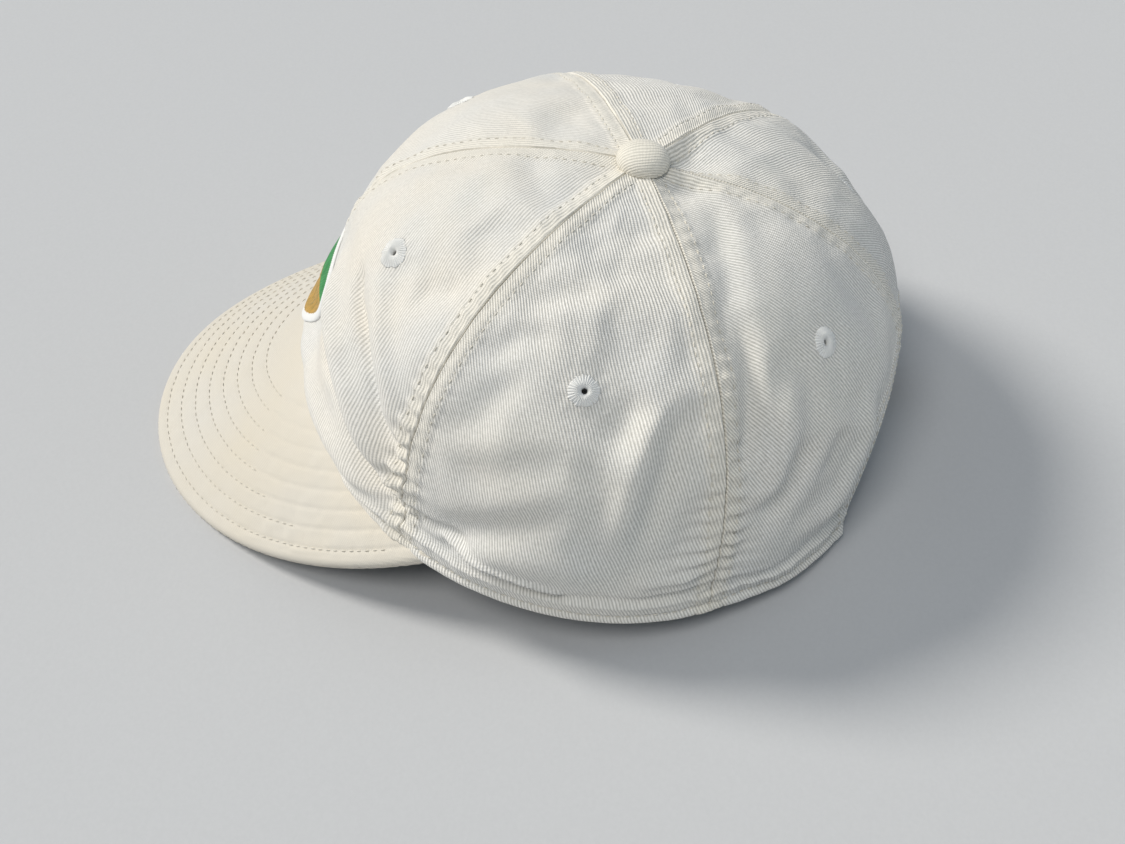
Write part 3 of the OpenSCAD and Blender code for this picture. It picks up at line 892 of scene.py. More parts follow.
def twill_height(paint, pitch, angle):
    """Slanting wales: cloth place, wales from 0 to 1, flecks along them and height."""
    uv, u, v = paint.cloth_uv()
    c, s = math.cos(math.radians(angle - 90)), math.sin(math.radians(angle - 90))
    wobble = paint.times(paint.noise(uv, 0.14, 3.0), 0.5)
    across = paint.math("ADD", paint.times(u, c), paint.times(v, s))
    across = paint.math("ADD", across, wobble)
    along = paint.math("SUBTRACT", paint.times(v, c), paint.times(u, s))
    turn = paint.times(across, 2 * math.pi / pitch)
    wave = paint.madd(paint.math("SINE", turn), 0.5, 0.5)
    wale = paint.math("POWER", wave, 0.75)
    floats = paint.madd(turn, 0.35, paint.times(along, 2 * math.pi / FLOAT_PITCH))
    floats = paint.madd(paint.math("SINE", floats), 0.5, 0.5)
    yarn = paint.noise(uv, 3.2, 2.0, 0.6)
    height = paint.madd(floats, 0.22, paint.times(wale, 0.78))
    lengthwise = paint.node("CombineXYZ", X=across, Y=along)
    fleck = paint.noise(paint.stretch(lengthwise.outputs[0], 1.7, 0.85, 1.0), 1.0, 1.0)
    return uv, wale, fleck, paint.madd(yarn, 0.35, height)


def twill(name, base=OFF_WHITE, pitch=WALE_PITCH, depth=0.42):
    """Washed cotton twill: wales with painted shade in their grooves, slubs, soft stains and a little fuzz; depth
    is the contrast of that painted shade and of the bump.
    """
    paint = Paint(name)
    uv, wale, fleck, height = twill_height(paint, pitch, WALE_ANGLE)
    place = paint.position()
    cloud = paint.noise(place, 28.0, 3.0)
    color = paint.mix(paint.ramp(cloud, 0.35, 0.7), base, COOL)
    color = paint.mix(paint.attribute("tone"), color, WARM)
    slub = paint.noise(paint.stretch(uv, 1.6, 0.12, 1.0), 1.0, 2.0)
    # Painted shade: the grooves between the wales are darkened in the colour, more for a larger depth
    shade = paint.madd(wale, depth, WALE_SHADE_MEAN - WALE_MEAN * depth)
    shade = paint.madd(paint.math("SUBTRACT", slub, 0.5), 0.14, shade)
    shade = paint.madd(paint.math("SUBTRACT", fleck, 0.5), 0.9 * depth, shade)
    color = paint.shaded(color, shade, paint.math("POWER", shade, 1.05))
    normal = paint.bump(height, 0.0005 * depth, 0.95)
    rough = paint.madd(slub, 0.1, 0.82)
    return paint.finish(color, rough, normal, Sheen_Weight=0.25, Sheen_Roughness=0.5,
                        Specular_IOR_Level=0.25)


def plain_weave(name, base, pitch=0.42, bump=0.00007, sheen=0.2):
    """Fine plain weave for the visor, tapes, sweatband and strap."""
    paint = Paint(name)
    uv, u, v = paint.cloth_uv()
    wave_u = paint.math("SINE", paint.times(u, 2 * math.pi / pitch))
    wave_v = paint.math("SINE", paint.times(v, 2 * math.pi / pitch))
    weave = paint.madd(paint.times(wave_u, wave_v), 0.5, 0.5)
    yarn = paint.noise(uv, 2.6, 3.0, 0.65)
    height = paint.madd(yarn, 0.8, paint.times(weave, 0.6))
    cloud = paint.noise(paint.position(), 24.0, 3.0)
    warmer = rgba(base[0] * 1.02, base[1] * 0.985, base[2] * 0.91)
    color = paint.mix(paint.ramp(cloud, 0.3, 0.75), base, warmer)
    shade = paint.madd(weave, 0.16, 0.80)
    shade = paint.madd(yarn, 0.14, shade)
    color = paint.shaded(color, shade, shade)
    return paint.finish(color, 0.85, paint.bump(height, bump, 0.8), Sheen_Weight=sheen,
                        Specular_IOR_Level=0.25)


def thread(name, base, shine=0.35, streaks=0.0):
    """Twisted thread with a soft shine, and darker streaks where it fills a field."""
    paint = Paint(name)
    place = paint.position()
    twist = paint.noise(place, 3500.0, 2.0)
    color = paint.mix(paint.times(twist, 0.35), base,
                      rgba(base[0] * 0.7, base[1] * 0.7, base[2] * 0.68))
    if streaks:
        streak = paint.ramp(paint.noise(paint.stretch(place, 1500, 300, 160), 1.0, 2.0), 0.42, 0.62)
        dark = rgba(base[0] * 0.45, base[1] * 0.55, base[2] * 0.5)
        color = paint.mix(paint.times(streak, streaks), color, dark)
    cloud = paint.noise(place, 60.0, 2.0)
    rough = paint.madd(cloud, 0.2, 0.6 - shine * 0.4)
    return paint.finish(color, rough, paint.bump(twist, 0.00005, 0.6), Sheen_Weight=0.15,
                        Specular_IOR_Level=0.4)


def worn_metal(name, dark, bright, rough):
    """Plated metal, darker and rubbed bright in random patches."""
    paint = Paint(name)
    place = paint.position()
    patch = paint.ramp(paint.noise(place, 260.0, 4.0, 0.65), 0.38, 0.66)
    color = paint.mix(patch, dark, bright)
    scratch = paint.noise(paint.stretch(place, 900, 900, 60), 1.0, 2.0)
    uneven = paint.madd(scratch, 0.22, rough)
    return paint.finish(color, uneven, paint.bump(scratch, 0.00002, 0.5), Metallic=1.0)


def dull_plastic(name, base):
    """Plain moulded plastic with a fine grain."""
    paint = Paint(name)
    grain = paint.noise(paint.position(), 1800.0, 3.0)
    color = paint.mix(grain, base, rgba(base[0] * 1.4, base[1] * 1.4, base[2] * 1.4))
    return paint.finish(color, 0.6, paint.bump(grain, 0.00003, 0.5))


# ---- crown panels ----

# Angle at which each panel starts
PANELS = {
    "front_left": 0, "side_left": 60, "back_left": 120,
    "front_right": -60, "side_right": -120, "back_right": -180,
}
PANEL_ROWS = 210
SEAM_GAP = 0.05
EYELET_HOLE_R = 1.3


def near_seam_steps(width):
    """Distances from a seam, close together near it, up to half the panel's width."""
    fine = np.arange(0, 1.2, 0.24)
    band = np.arange(1.2, 7.2, 0.5)
    wide = np.linspace(7.2, width / 2, 32)
    return np.concatenate([fine, band, wide])


def panel_shares():
    """Column places across a panel, 0 at one seam and 1 at the other."""
    width = SPAN * math.pi / 180 * 0.5 * (SIDE + FRONT)
    half = near_seam_steps(width) / width
    return np.concatenate([half, (1 - half[:-1])[::-1]])


def arched_shares(arch_at_end):
    """Column places of a back panel, with extra ones where the arch's edge is steep."""
    plain = panel_shares()
    edge = OPENING_HALF / SPAN
    inside = 1 - edge * np.cos(np.linspace(0, math.pi / 2, 34))
    places = np.concatenate([plain[plain < 1 - edge - 0.004], inside[:-1],
                             plain[plain > 1 - 0.02], [1.0]])
    places = np.unique(np.round(places, 6))
    keep = np.concatenate([[True], np.diff(places) > 0.0012])
    places = places[keep]
    return places if arch_at_end else (1 - places)[::-1]


def cell_middles(grid):
    return 0.25 * (grid[:-1, :-1] + grid[1:, :-1] + grid[:-1, 1:] + grid[1:, 1:])


def panel_grid(start):
    """Angles and climbs of a panel's points; the rows are closer together near the rim."""
    back = abs(start + SPAN / 2) > 120
    shares = arched_shares(start > 0) if back else panel_shares()
    low_s = climb(e_at_height(arch_height(start + SPAN * shares))) if back else np.zeros(len(shares))
    t = np.linspace(0, 1, PANEL_ROWS)
    t = 0.45 * t + 0.55 * t ** 2
    s = low_s[:, None] + (S_TOP - low_s)[:, None] * t[None]
    scale = ring_scale((start + SPAN * shares)[:, None], e_at_climb(s))
    gap = SEAM_GAP / np.maximum(scale, 1e-3)
    return start + gap + (SPAN - 2 * gap) * shares[:, None], s, scale


def crown_panel(name, start, material):
    """One panel of the crown: cloth outside, lining side inside, eyelet hole cut out."""
    a, s, scale = panel_grid(start)
    e = e_at_climb(s)
    outer = cloth(a, e)
    under = np.minimum(-PANEL_T - 0.1, cloth_relief(a, e) - 0.45)
    middle = start + SPAN / 2
    uv = np.stack([(a - middle) * ring_scale(middle, e), s], -1)
    near = np.abs(turn_from_seam(a)[1]) * scale
    tone = 0.55 * (1 - smooth(near, 2.5, 7.0)) + 0.25 * (1 - smooth(s, 3, 14)) + 0.12 * noise(outer, 40, 8)
    x, y = (a - middle) * ring_scale(middle, EYELET_E), s - climb(EYELET_E)
    keep = np.hypot(cell_middles(x), cell_middles(y)) > EYELET_HOLE_R
    shell_piece(name + "_cloth", name + "_panel", material, "crown_cloth", outer,
                cloth(a, e, under, fine=False), keep=keep, uv=uv, tone=np.clip(tone, 0, 1))


# ---- visor ----

VISOR = node_points("visor_top_cover")
VISOR_UNDER = node_points("visor_under_cover")
VISOR_HALF_W = VISOR[:, 0].max()
VISOR_TIP = -VISOR[:, 1].min()
VISOR_CORNER = FRONT * math.sqrt(1 - (VISOR_HALF_W / SIDE) ** 2)
# CAD sizes: the outline's power, the height of the root and half the board's thickness
VISOR_ROUND = 2.05
VISOR_ROOT_Z = 0.5
BOARD_HALF_T = 1.0
# Angle at which the root ends, and how far the covers stand off the visor's mid-surface
VISOR_END = math.degrees(math.asin(VISOR_HALF_W / SIDE)) - 1.2
VISOR_FACE = BOARD_HALF_T + 1.25
# Stitch rows, measured from the outer edge
VISOR_ROWS_FIRST = 5.0
VISOR_ROW_STEP = 5.8
VISOR_ROW_COUNT = 8


def visor_profile():
    """Rise, arch and drop of the visor's mid-surface, read from its covers."""
    both = np.concatenate([VISOR, VISOR_UNDER])
    tip = both[both[:, 1] < -VISOR_TIP + 0.3][:, 2].mean()
    corner = both[both[:, 0] > VISOR_HALF_W - 0.05][:, 2].mean()
    share = (FRONT - VISOR_CORNER) / (VISOR_TIP - VISOR_CORNER)
    drop = (VISOR_ROOT_Z - tip) / (1 - share)
    rise = drop * share + VISOR_ROOT_Z
    return rise, rise - corner, drop


VISOR_RISE, VISOR_ARCH, VISOR_DROP = visor_profile()


def visor_z(x, y):
    """Height of the visor's mid-surface."""
    out = (-y - VISOR_CORNER) / (VISOR_TIP - VISOR_CORNER)
    return VISOR_RISE - VISOR_ARCH * (x / VISOR_HALF_W) ** 2 - VISOR_DROP * out


def visor_outline(across):
    """Outer edge of the visor in plan; across runs from -1 to 1."""
    turn = np.radians(90 * across)
    c = np.abs(np.cos(turn)) ** (2 / VISOR_ROUND)
    s = np.sign(across) * np.abs(np.sin(turn)) ** (2 / VISOR_ROUND)
    return np.stack([VISOR_HALF_W * s, -VISOR_CORNER - (VISOR_TIP - VISOR_CORNER) * c], -1)


def visor_root(across, inset):
    """Inner edge of the visor in plan, along the crown's foot."""
    turn = np.radians(VISOR_END * across)
    return np.stack([(SIDE - inset) * np.sin(turn), -(FRONT - inset) * np.cos(turn)], -1)


def on_visor(plan, up=0.0):
    """Points of the mid-surface over a plan, or up millimetres off it."""
    z = visor_z(plan[..., 0], plan[..., 1])
    base = np.concatenate([plan, z[..., None]], -1)
    return base + visor_normal(plan) * np.asarray(up)[..., None]


def visor_normal(plan):
    """Unit vector up from the visor's mid-surface."""
    x = plan[..., 0]
    slope_x = 2 * VISOR_ARCH * x / VISOR_HALF_W ** 2
    slope_y = np.full_like(x, -VISOR_DROP / (VISOR_TIP - VISOR_CORNER))
    return unit(np.stack([slope_x, slope_y, np.ones_like(x)], -1))


VISOR_EDGE = on_visor(visor_outline(np.linspace(-1, 1, 801)))


def edge_distance(points):
    """Distance of each point from the visor's outer edge."""
    flat = points.reshape(-1, 3)
    best = np.full(len(flat), 1e9)
    for chunk in np.array_split(np.arange(len(flat)), 40):
        gaps = flat[chunk, None] - VISOR_EDGE[None, ::2]
        best[chunk] = np.sqrt((gaps ** 2).sum(-1).min(1))
    return best.reshape(points.shape[:-1])


def visor_rows_relief(depth, points):
    """Channels under the stitch rows and the soft swell between them."""
    total = np.zeros_like(depth)
    for k in range(VISOR_ROW_COUNT):
        total -= 0.27 * bell(depth - VISOR_ROWS_FIRST - k * VISOR_ROW_STEP, 0.8)
    rows = (depth - VISOR_ROWS_FIRST) / VISOR_ROW_STEP
    stitched = smooth(rows, -0.7, -0.2) * (1 - smooth(rows, VISOR_ROW_COUNT - 0.8, VISOR_ROW_COUNT - 0.3))
    pucker = 0.24 * noise(points, 2.8, 34) * stitched * (0.6 + 0.4 * noise(points, 26, 35))
    return total + pucker + 0.07 * noise(points, 4.5, 31) + 0.15 * noise(points, 22, 32)


def visor_plan():
    """Grid over the visor in plan from root to edge, with closer rows at the edge."""
    across = np.linspace(-0.995, 0.995, 290)
    out = np.concatenate([np.linspace(0, 0.93, 96), np.linspace(0.93, 1, 16)[1:]])[None, :, None]
    root, edge = visor_root(across, 0.4)[:, None], visor_outline(across)[:, None]
    return root * (1 - out) + edge * out


def visor_cover(name, side, node, material):
    """Top cover for side 1 or under cover for side -1, turned over the board's edge."""
    plan = visor_plan()
    middle = on_visor(plan)
    depth = edge_distance(middle)
    rim = np.sqrt(np.clip(1 - (1 - np.clip(depth / 2.4, 0, 1)) ** 2, 0, 1))
    relief = visor_rows_relief(depth, middle + 50 * side) * smooth(depth, 1.5, 3.5)
    seam_crease = -0.12 * bell(depth, 0.5)
    up = side * (0.06 + VISOR_FACE * rim + relief + seam_crease)
    down = side * (0.02 + (BOARD_HALF_T + 0.05) * rim * smooth(depth, 0, 2.4))
    from_root = np.linalg.norm(middle - middle[:, :1], axis=-1)
    tone = 0.5 * (1 - smooth(depth, 0, 4)) + 0.2 * noise(middle, 30, 33)
    tone = tone + 0.3 * (1 - smooth(from_root, 0, 6))
    uv = np.stack([middle[..., 0], -middle[..., 1] * 1.2], -1)
    shell_piece(name, node, material, "visor_cloth", on_visor(plan, up), on_visor(plan, down),
                uv=uv, tone=np.clip(tone, 0, 1))


def visor_row_path(distance):
    """Plan path that keeps a distance from the outer edge, in front of the crown."""
    edge = visor_outline(np.linspace(-1, 1, 500))
    along = np.gradient(edge, axis=0)
    inward = unit(np.stack([-along[:, 1], along[:, 0]], -1))
    inward = np.where(inward[:, 1:] < 0, -inward, inward)
    start = on_visor(edge)
    plan = edge + inward * distance
    for _ in range(3):
        got = np.linalg.norm(on_visor(plan) - start, axis=-1)
        step = np.linalg.norm(plan - edge, axis=-1) * distance / np.maximum(got, 1e-6)
        plan = edge + inward * step[:, None]
    crown = np.hypot(plan[:, 0] / SIDE, plan[:, 1] / FRONT)
    ahead = (crown > 1.02) & (plan[:, 1] < -VISOR_CORNER - 1)
    clear = np.abs(edge_distance(on_visor(plan)) - distance) < 0.35
    return plan[ahead & clear]


def visor_stitching(name, side, material):
    """Rows of stitches on one face of the visor."""
    runs = []
    for k in range(VISOR_ROW_COUNT):
        for plan in split_path(visor_row_path(VISOR_ROWS_FIRST + k * VISOR_ROW_STEP), 3.0):
            middle = on_visor(plan)
            lift = VISOR_FACE + 0.14 + visor_rows_relief(edge_distance(middle), middle + 50 * side)
            runs.append((on_visor(plan, side * lift), visor_normal(plan) * side))
    stitch_piece(name, runs, 0.17, material, pitch=2.9, gap=0.9)


# ---- button ----

def square_to_disc(n):
    """Even grid over a disc of radius 1."""
    u, v = np.meshgrid(np.linspace(-1, 1, n), np.linspace(-1, 1, n), indexing="ij")
    x = u * np.sqrt(1 - v * v / 2)
    y = v * np.sqrt(1 - u * u / 2)
    return np.stack([x, y], -1)


def covered_button(material):
    """Cloth stretched over the button's dome, gathered under its edge."""
    disc = square_to_disc(90)
    r = np.hypot(disc[..., 0], disc[..., 1])
    around = np.arctan2(disc[..., 1], disc[..., 0])
    tall = BUTTON_TOP - BUTTON_FOOT
    lean = r * math.pi / 2 * 1.06
    gather = 0.1 * np.cos(26 * around + 2 * np.sin(3 * around)) * smooth(r, 0.86, 1.0)

    def dome(shrink):
        wide = (BUTTON_R - shrink + gather) * np.sin(np.minimum(lean, math.pi / 2)) ** 0.85
        wide = wide - 5 * np.maximum(lean - math.pi / 2, 0)
        high = BUTTON_FOOT + (tall - shrink) * np.maximum(np.cos(lean), 0) ** 0.8
        high = high - 0.35 * smooth(r, 0.95, 1.0) * (0 if shrink else 1)
        flat = disc / np.maximum(r, 1e-6)[..., None] * wide[..., None]
        return np.concatenate([flat, high[..., None]], -1)

    shell_piece("button_cloth", "button_cover", material, "button_cloth", dome(0), dome(0.65),
                uv=disc * BUTTON_R * 1.25, tone=0.75 + 0.25 * smooth(r, 0.8, 1.0))


# ---- eyelets ----

EYELET_THREADS = 30
# Section of the ring: distance from the hole's centre and height above the cloth
EYELET_PROFILE = [(0.8, -1.35), (2.2, -1.75), (3.5, -1.6), (3.9, -1.2), (1.35, -1.1),
                  (1.3, -0.2), (4.0, -0.25), (4.35, -0.12), (4.1, 0.02), (3.4, 0.24),
                  (2.6, 0.52), (1.9, 0.62), (1.35, 0.45), (1.0, 0.0), (0.78, -0.6)]


def eyelet(name, angle, material):
    """Ring of satin stitches through the panel, with a lobe for each thread."""
    around = np.arange(EYELET_THREADS * 8) * 2 * math.pi / (EYELET_THREADS * 8)
    lobe = np.abs(np.cos(around * EYELET_THREADS / 2))
    count = around * EYELET_THREADS / 2 / math.pi
    ragged, uneven = noise_1d(count + angle, 1.0, 41), noise_1d(count + angle, 2.2, 42)
    far, high = np.array(EYELET_PROFILE).T
    radius = far * (1 + 0.09 * ragged[:, None] * smooth(far, 3.0, 4.2))
    bumps = 0.34 * (lobe - 0.7) + 0.22 * uneven
    height = high + bumps[:, None] * (smooth(far, 0.9, 2.2) * (high > 0))
    a = angle + radius * np.cos(around)[:, None] / ring_scale(angle, EYELET_E)
    e = e_at_climb(climb(EYELET_E) + radius * np.sin(around)[:, None])
    rings = cloth(a, e, height + 0.1, fine=False)
    finish_piece(ring_tube(name + "_thread", rings), material, replaces=[name])


# ---- badge ----

# Width of the border as a share of the badge, and the threads it is sewn with
BADGE_BORDER = 0.14
BORDER_THREADS = 150
# Width of a row of filling thread and the length of its stitches
FILL_ROW = 0.42
FILL_STITCH = 3.4


def badge_point(x, y, off):
    """Point of the badge; x and y run from -1 to 1 over it."""
    a = np.degrees(np.arcsin(np.clip(x * BADGE_HALF_W / FRONT, -1, 1)))
    e = e_at_height(BADGE_Z + y * BADGE_HALF_H)
    return cloth(a, e, off, fine=False)


def badge_border(material):
    """Satin-stitched edge of the badge."""
    turn = np.arange(BORDER_THREADS * 5)[:, None] * 2 * math.pi / (BORDER_THREADS * 5)
    lobe = np.abs(np.cos(turn * BORDER_THREADS / 2))
    ragged = noise_1d(turn * BORDER_THREADS / 2 / math.pi, 1.0, 51)
    w = np.linspace(-1, 1, 11)[None]
    grow = 1 - BADGE_BORDER / 2 + (BADGE_BORDER / 2) * w * (1.04 + 0.1 * ragged)
    x, y = -grow * np.cos(turn), grow * np.sin(turn)
    high = 0.15 + 0.85 * np.sqrt(1 - 0.98 * w ** 2) + 0.12 * (lobe - 0.6)
    shell_piece("badge_border_thread", "badge_border", material, "badge_white",
                badge_point(x, y, high), badge_point(x, y, 0.1), loop_u=True)


def badge_field(name, half, node, material, slot):
    """Rows of filling thread over the upper half of the badge for 1, the lower for -1."""
    reach = 1 - BADGE_BORDER * 0.8
    x = half * reach * np.linspace(-0.985, 0.985, 190)[:, None]
    tall = np.sqrt(np.maximum(reach ** 2 - x ** 2, 0))
    y = half * (0.012 + (tall - 0.012) * np.linspace(0, 1, 70)[None])
    place = x * BADGE_HALF_W / FILL_ROW
    lobe = np.abs(np.cos(math.pi * place))
    stagger = np.abs(np.sin(math.pi * (y * BADGE_HALF_H / FILL_STITCH + 0.33 * np.floor(place))))
    high = 0.42 + 0.2 * lobe + 0.16 * smooth(stagger, 0, 0.5)
    x, y = np.broadcast_arrays(x, y)
    shell_piece(name, node, material, slot, badge_point(x, y, high), badge_point(x, y, 0.1))


# ---- stitching of the crown ----

def seam_low(k):
    """Height angle where the topstitching of seam k begins."""
    return e_at_height(OPENING_H + 6.5) if k == 3 else e_at_height(HEM_STITCH_Z + 1)


def seam_stitching(material):
    """A row of stitches on both sides of every seam."""
    runs = []
    top = S_TOP - 6.5
    for k in range(6):
        for side in (-1, 1):
            s = np.linspace(climb(seam_low(k)), top, 240)
            e = e_at_climb(s)
            room = ring_scale(k * SPAN, e)
            drift = 0.3 * noise_1d(s, 7, 17 + k + 6 * side)
            away = np.minimum((STITCH_X + drift) / room, 27)
            runs.append(crown_run(k * SPAN + side * away, e, -0.06))
    stitch_piece("seam_topstitch", runs, 0.16, material)


def hem_stitching(material):
    """The row along the rim and the two rows round the back opening."""
    reach = 180 - OPENING_HALF - 1.0
    a = np.linspace(-reach, reach, 900)
    runs = [crown_run(a, np.full_like(a, e_at_height(HEM_STITCH_Z)), 0.02)]
    turn = np.linspace(-0.985, 0.985, 240) * math.pi / 2
    for away in OPENING_ROWS:
        grow = 1 + away / OPENING_HALF_W
        z = np.maximum(OPENING_H * grow * np.cos(turn), 1.0)
        runs.append(crown_run(180 + OPENING_HALF * grow * np.sin(turn), e_at_height(z), 0.02))
    stitch_piece("edge_topstitch", runs, 0.2, material)


# ---- inside of the crown ----

# Where the tapes' and the binding's cloth begins, under the outer cloth
INSIDE_DEPTH = -1.4
TAPE_HALF_W = 7.0
BINDING_W = 8.0
# How far inside the crown's foot the band's cloth begins and ends, and its stitch rows
BAND_OUT = -4.75
BAND_IN = -5.45
BAND_ROWS = (SWEATBAND_H - 2.5, 2.6)
LABEL_ANGLES = (124, 142)

def seam_tape(name, angle, low_z, material):
    """Tape that covers a seam from inside, from a height up to the button."""
    s = np.linspace(climb(e_at_height(low_z)), S_TOP - 7.0, 130)
    side = np.linspace(-1, 1, 15)[:, None]
    half = np.minimum(29, TAPE_HALF_W / ring_scale(angle, e_at_climb(s)))
    a = angle + side * half
    s = np.broadcast_to(s, a.shape)
    e = e_at_climb(s)
    wavy = 0.12 * noise(shape(a, e), 9, 61) - 0.15 * bell(np.abs(side) - 0.8, 0.1)
    outer, inner = cloth(a, e, INSIDE_DEPTH, fine=False), cloth(a, e, -1.95 + wavy, fine=False)
    uv = np.stack([side * TAPE_HALF_W + 0 * a, s], -1)
    shell_piece(name + "_cloth", name, material, "tape_cloth", outer, inner, uv=uv)


def rim_point(a, off, z):
    """Point of an upright wall round the rim, off millimetres outside the crown's foot."""
    ra = np.radians(a)
    return np.stack([(SIDE + off) * np.sin(ra), -(half_length(a) + off) * np.cos(ra), z + 0 * a], -1)


def hollow_push(a, z):
    """How far a hollow in the crown pushes the band behind it inwards: zero or negative."""
    outward = unit(rim_point(a, 0, 0 * z))
    dent = cloth(a, e_at_height(z), fine=False) - rim_point(a, 0, z)
    return np.minimum(0, np.sum(dent * outward, axis=-1) + 2.2)


def band_wave(a, z):
    """Soft waves of the sweatband, with the push of the crown's hollows."""
    return 0.35 * noise(rim_point(a, 0, z), 24, 71) * smooth(z, 4, 14) + hollow_push(a, z + 0 * a)


def band_grid(low_a, high_a, columns, z):
    return np.meshgrid(np.linspace(low_a, high_a, columns), z, indexing="ij")


def sweatband(reach, material):
    """Band round the head, rolled at both of its edges."""
    z = np.concatenate([np.linspace(0.15, 3, 9), np.linspace(3, SWEATBAND_H, 26)[1:]])
    a, z = band_grid(-reach, reach, 420, z)
    wavy = band_wave(a, z)
    flare = 3.2 * (1 - smooth(z, 0.3, 1.7))
    roll = -0.15 * (1 - smooth(SWEATBAND_H - z, 0, 1.2))
    outer = rim_point(a, BAND_OUT + flare + wavy + roll, z)
    seam = 0.12 * bell(z - BAND_ROWS[0], 0.6)
    inner = rim_point(a, BAND_IN + flare + wavy - roll - seam, z)
    uv = np.stack([a * SIDE * math.pi / 180, z], -1)
    shell_piece("sweatband_cloth", "sweatband", material, "sweatband_cloth", outer, inner, uv=uv)


def sweatband_stitching(reach, material):
    """Rows of stitches along the sweatband, on its inner face."""
    a = np.linspace(-reach + 0.5, reach - 0.5, 800)
    runs = [(rim_point(a, -5.5 + band_wave(a, z), z), -unit(rim_point(a, 0, 0.0))) for z in BAND_ROWS]
    stitch_piece("sweatband_stitch", runs, 0.17, material)


def sweatband_lining(reach, material):
    """Thin sheet between the sweatband and the crown."""
    a, z = band_grid(-reach + 0.3, reach - 0.3, 240, np.linspace(2.2, SWEATBAND_H - 1.2, 8))
    wavy = band_wave(a, z)
    shell_piece("sweatband_lining_sheet", "sweatband_lining", material, "lining_cloth",
                rim_point(a, -4.25 + wavy, z), rim_point(a, -4.6 + wavy, z))


def opening_binding(material):
    """Tape round the inside of the back opening's edge."""
    t = np.linspace(0, math.pi, 150)[:, None]
    w = np.linspace(0, 1, 10)[None]
    grow = 1 + w * BINDING_W / OPENING_H
    a = 180 + OPENING_HALF * grow * np.cos(t)
    e = e_at_height(1.2 + OPENING_H * grow * np.sin(t))
    outer = cloth(a, e, INSIDE_DEPTH, fine=False)
    inner = cloth(a, e, -1.9 + 0.1 * noise(shape(a, e), 7, 81), fine=False)
    uv = np.stack([w * BINDING_W + 0 * a, t * OPENING_HALF_W + 0 * a], -1)
    shell_piece("opening_binding_cloth", "opening_binding", material, "tape_cloth", outer, inner, uv=uv)


def care_label(material):
    """Blank label sewn to the sweatband along its top, curling at its free corners."""
    label = node_points("care_label")[:, 2]
    a, z = band_grid(*LABEL_ANGLES, 40, np.linspace(label.min(), label.max(), 30))
    off_middle = np.abs(a - sum(LABEL_ANGLES) / 2)
    curl = -1.4 * smooth(SWEATBAND_H - 1 - z, 0, 16) * smooth(off_middle, 2, 9) - 0.15
    curl = curl + hollow_push(a, z)
    shell_piece("care_label_cloth", "care_label", material, "label_cloth",
                rim_point(a, -5.65 + curl, z), rim_point(a, -5.9 + curl, z),
                uv=np.stack([a * 1.6, z], -1))


# ---- strap and buckle ----

# The strap follows an arc about the strap_slide joint's axis
STRAP = node_points("closure_strap")
ARC_Y = level_mm(JOINTS["strap_slide"]["pos_m"])[1]
STRAP_LOW, STRAP_HIGH = STRAP[:, 2].min(), STRAP[:, 2].max()
STRAP_RADII = np.hypot(STRAP[:, 0], STRAP[:, 1] - ARC_Y)
STRAP_OUT, STRAP_IN = STRAP_RADII.max(), STRAP_RADII.min()
STRAP_ANGLES = np.degrees(np.arctan2(-STRAP[:, 0], STRAP[:, 1] - ARC_Y))
STRAP_START, STRAP_END = STRAP_ANGLES.min(), STRAP_ANGLES.max()
# Stitch rows, as shares of the strap's width
STRAP_ROWS = (0.12, 0.88)
# Points closer than this many metres are one point
MERGE = 1e-6


def arc_point(angle, radius, z):
    """Point at an angle and a radius about the strap's centre."""
    ra = np.radians(angle)
    return np.stack([-radius * np.sin(ra), ARC_Y + radius * np.cos(ra), z + 0 * ra], -1)


def strap_height(w):
    return STRAP_LOW + (STRAP_HIGH - STRAP_LOW) * w


def closure_strap(material):
    """Folded strap with rounded edges, dented under its stitch rows."""
    along = np.linspace(STRAP_START, STRAP_END, 170)[:, None]
    w = np.concatenate([np.linspace(0, 1, 5) * 0.05, np.linspace(0.05, 0.95, 28)[1:-1],
                        np.linspace(0.95, 1, 5)])[None]
    inset = np.minimum(w, 1 - w)
    edge = np.sqrt(np.clip(1 - (1 - np.clip(inset / 0.045, 0, 1)) ** 2, 0.03, 1))
    tip = np.sqrt(np.clip(1 - (1 - np.clip((STRAP_END - along) / 0.5, 0, 1)) ** 2, 0.05, 1))
    z = strap_height(w) + 0 * along
    along = along + 0 * z
    middle = 0.5 * (STRAP_OUT + STRAP_IN)
    dent = 0.1 * bell((inset - STRAP_ROWS[0]) * 20, 0.6)
    half = 0.5 * (STRAP_OUT - STRAP_IN) * edge * tip - dent
    grain = 0.05 * noise(arc_point(along, middle, z), 5, 91)
    outer = arc_point(along, middle + half + grain - 0.05, z)
    inner = arc_point(along, middle - half + grain + 0.05, z)
    uv = np.stack([along * middle * math.pi / 180, z], -1)
    shell_piece("strap_cloth", "closure_strap", material, "crown_cloth", outer, inner,
                body="strap", uv=uv, tone=0.25 + 0.3 * (1 - edge) + 0 * z)


def strap_stitching(material):
    """Rows of stitches along the strap's outer face."""
    angle = np.linspace(STRAP_START + 0.8, STRAP_END - 1.0, 300)
    outward = arc_point(angle, 1.0, 0.0) - arc_point(angle, 0.0, 0.0)
    runs = [(arc_point(angle, STRAP_OUT - 0.2, strap_height(w)), outward) for w in STRAP_ROWS]
    stitch_piece("strap_stitch", runs, 0.16, material, body="strap", pitch=2.8)


def modify(obj, kind, **settings):
    """Adds a modifier with these settings."""
    set_all(obj.modifiers.new(kind, kind), settings)


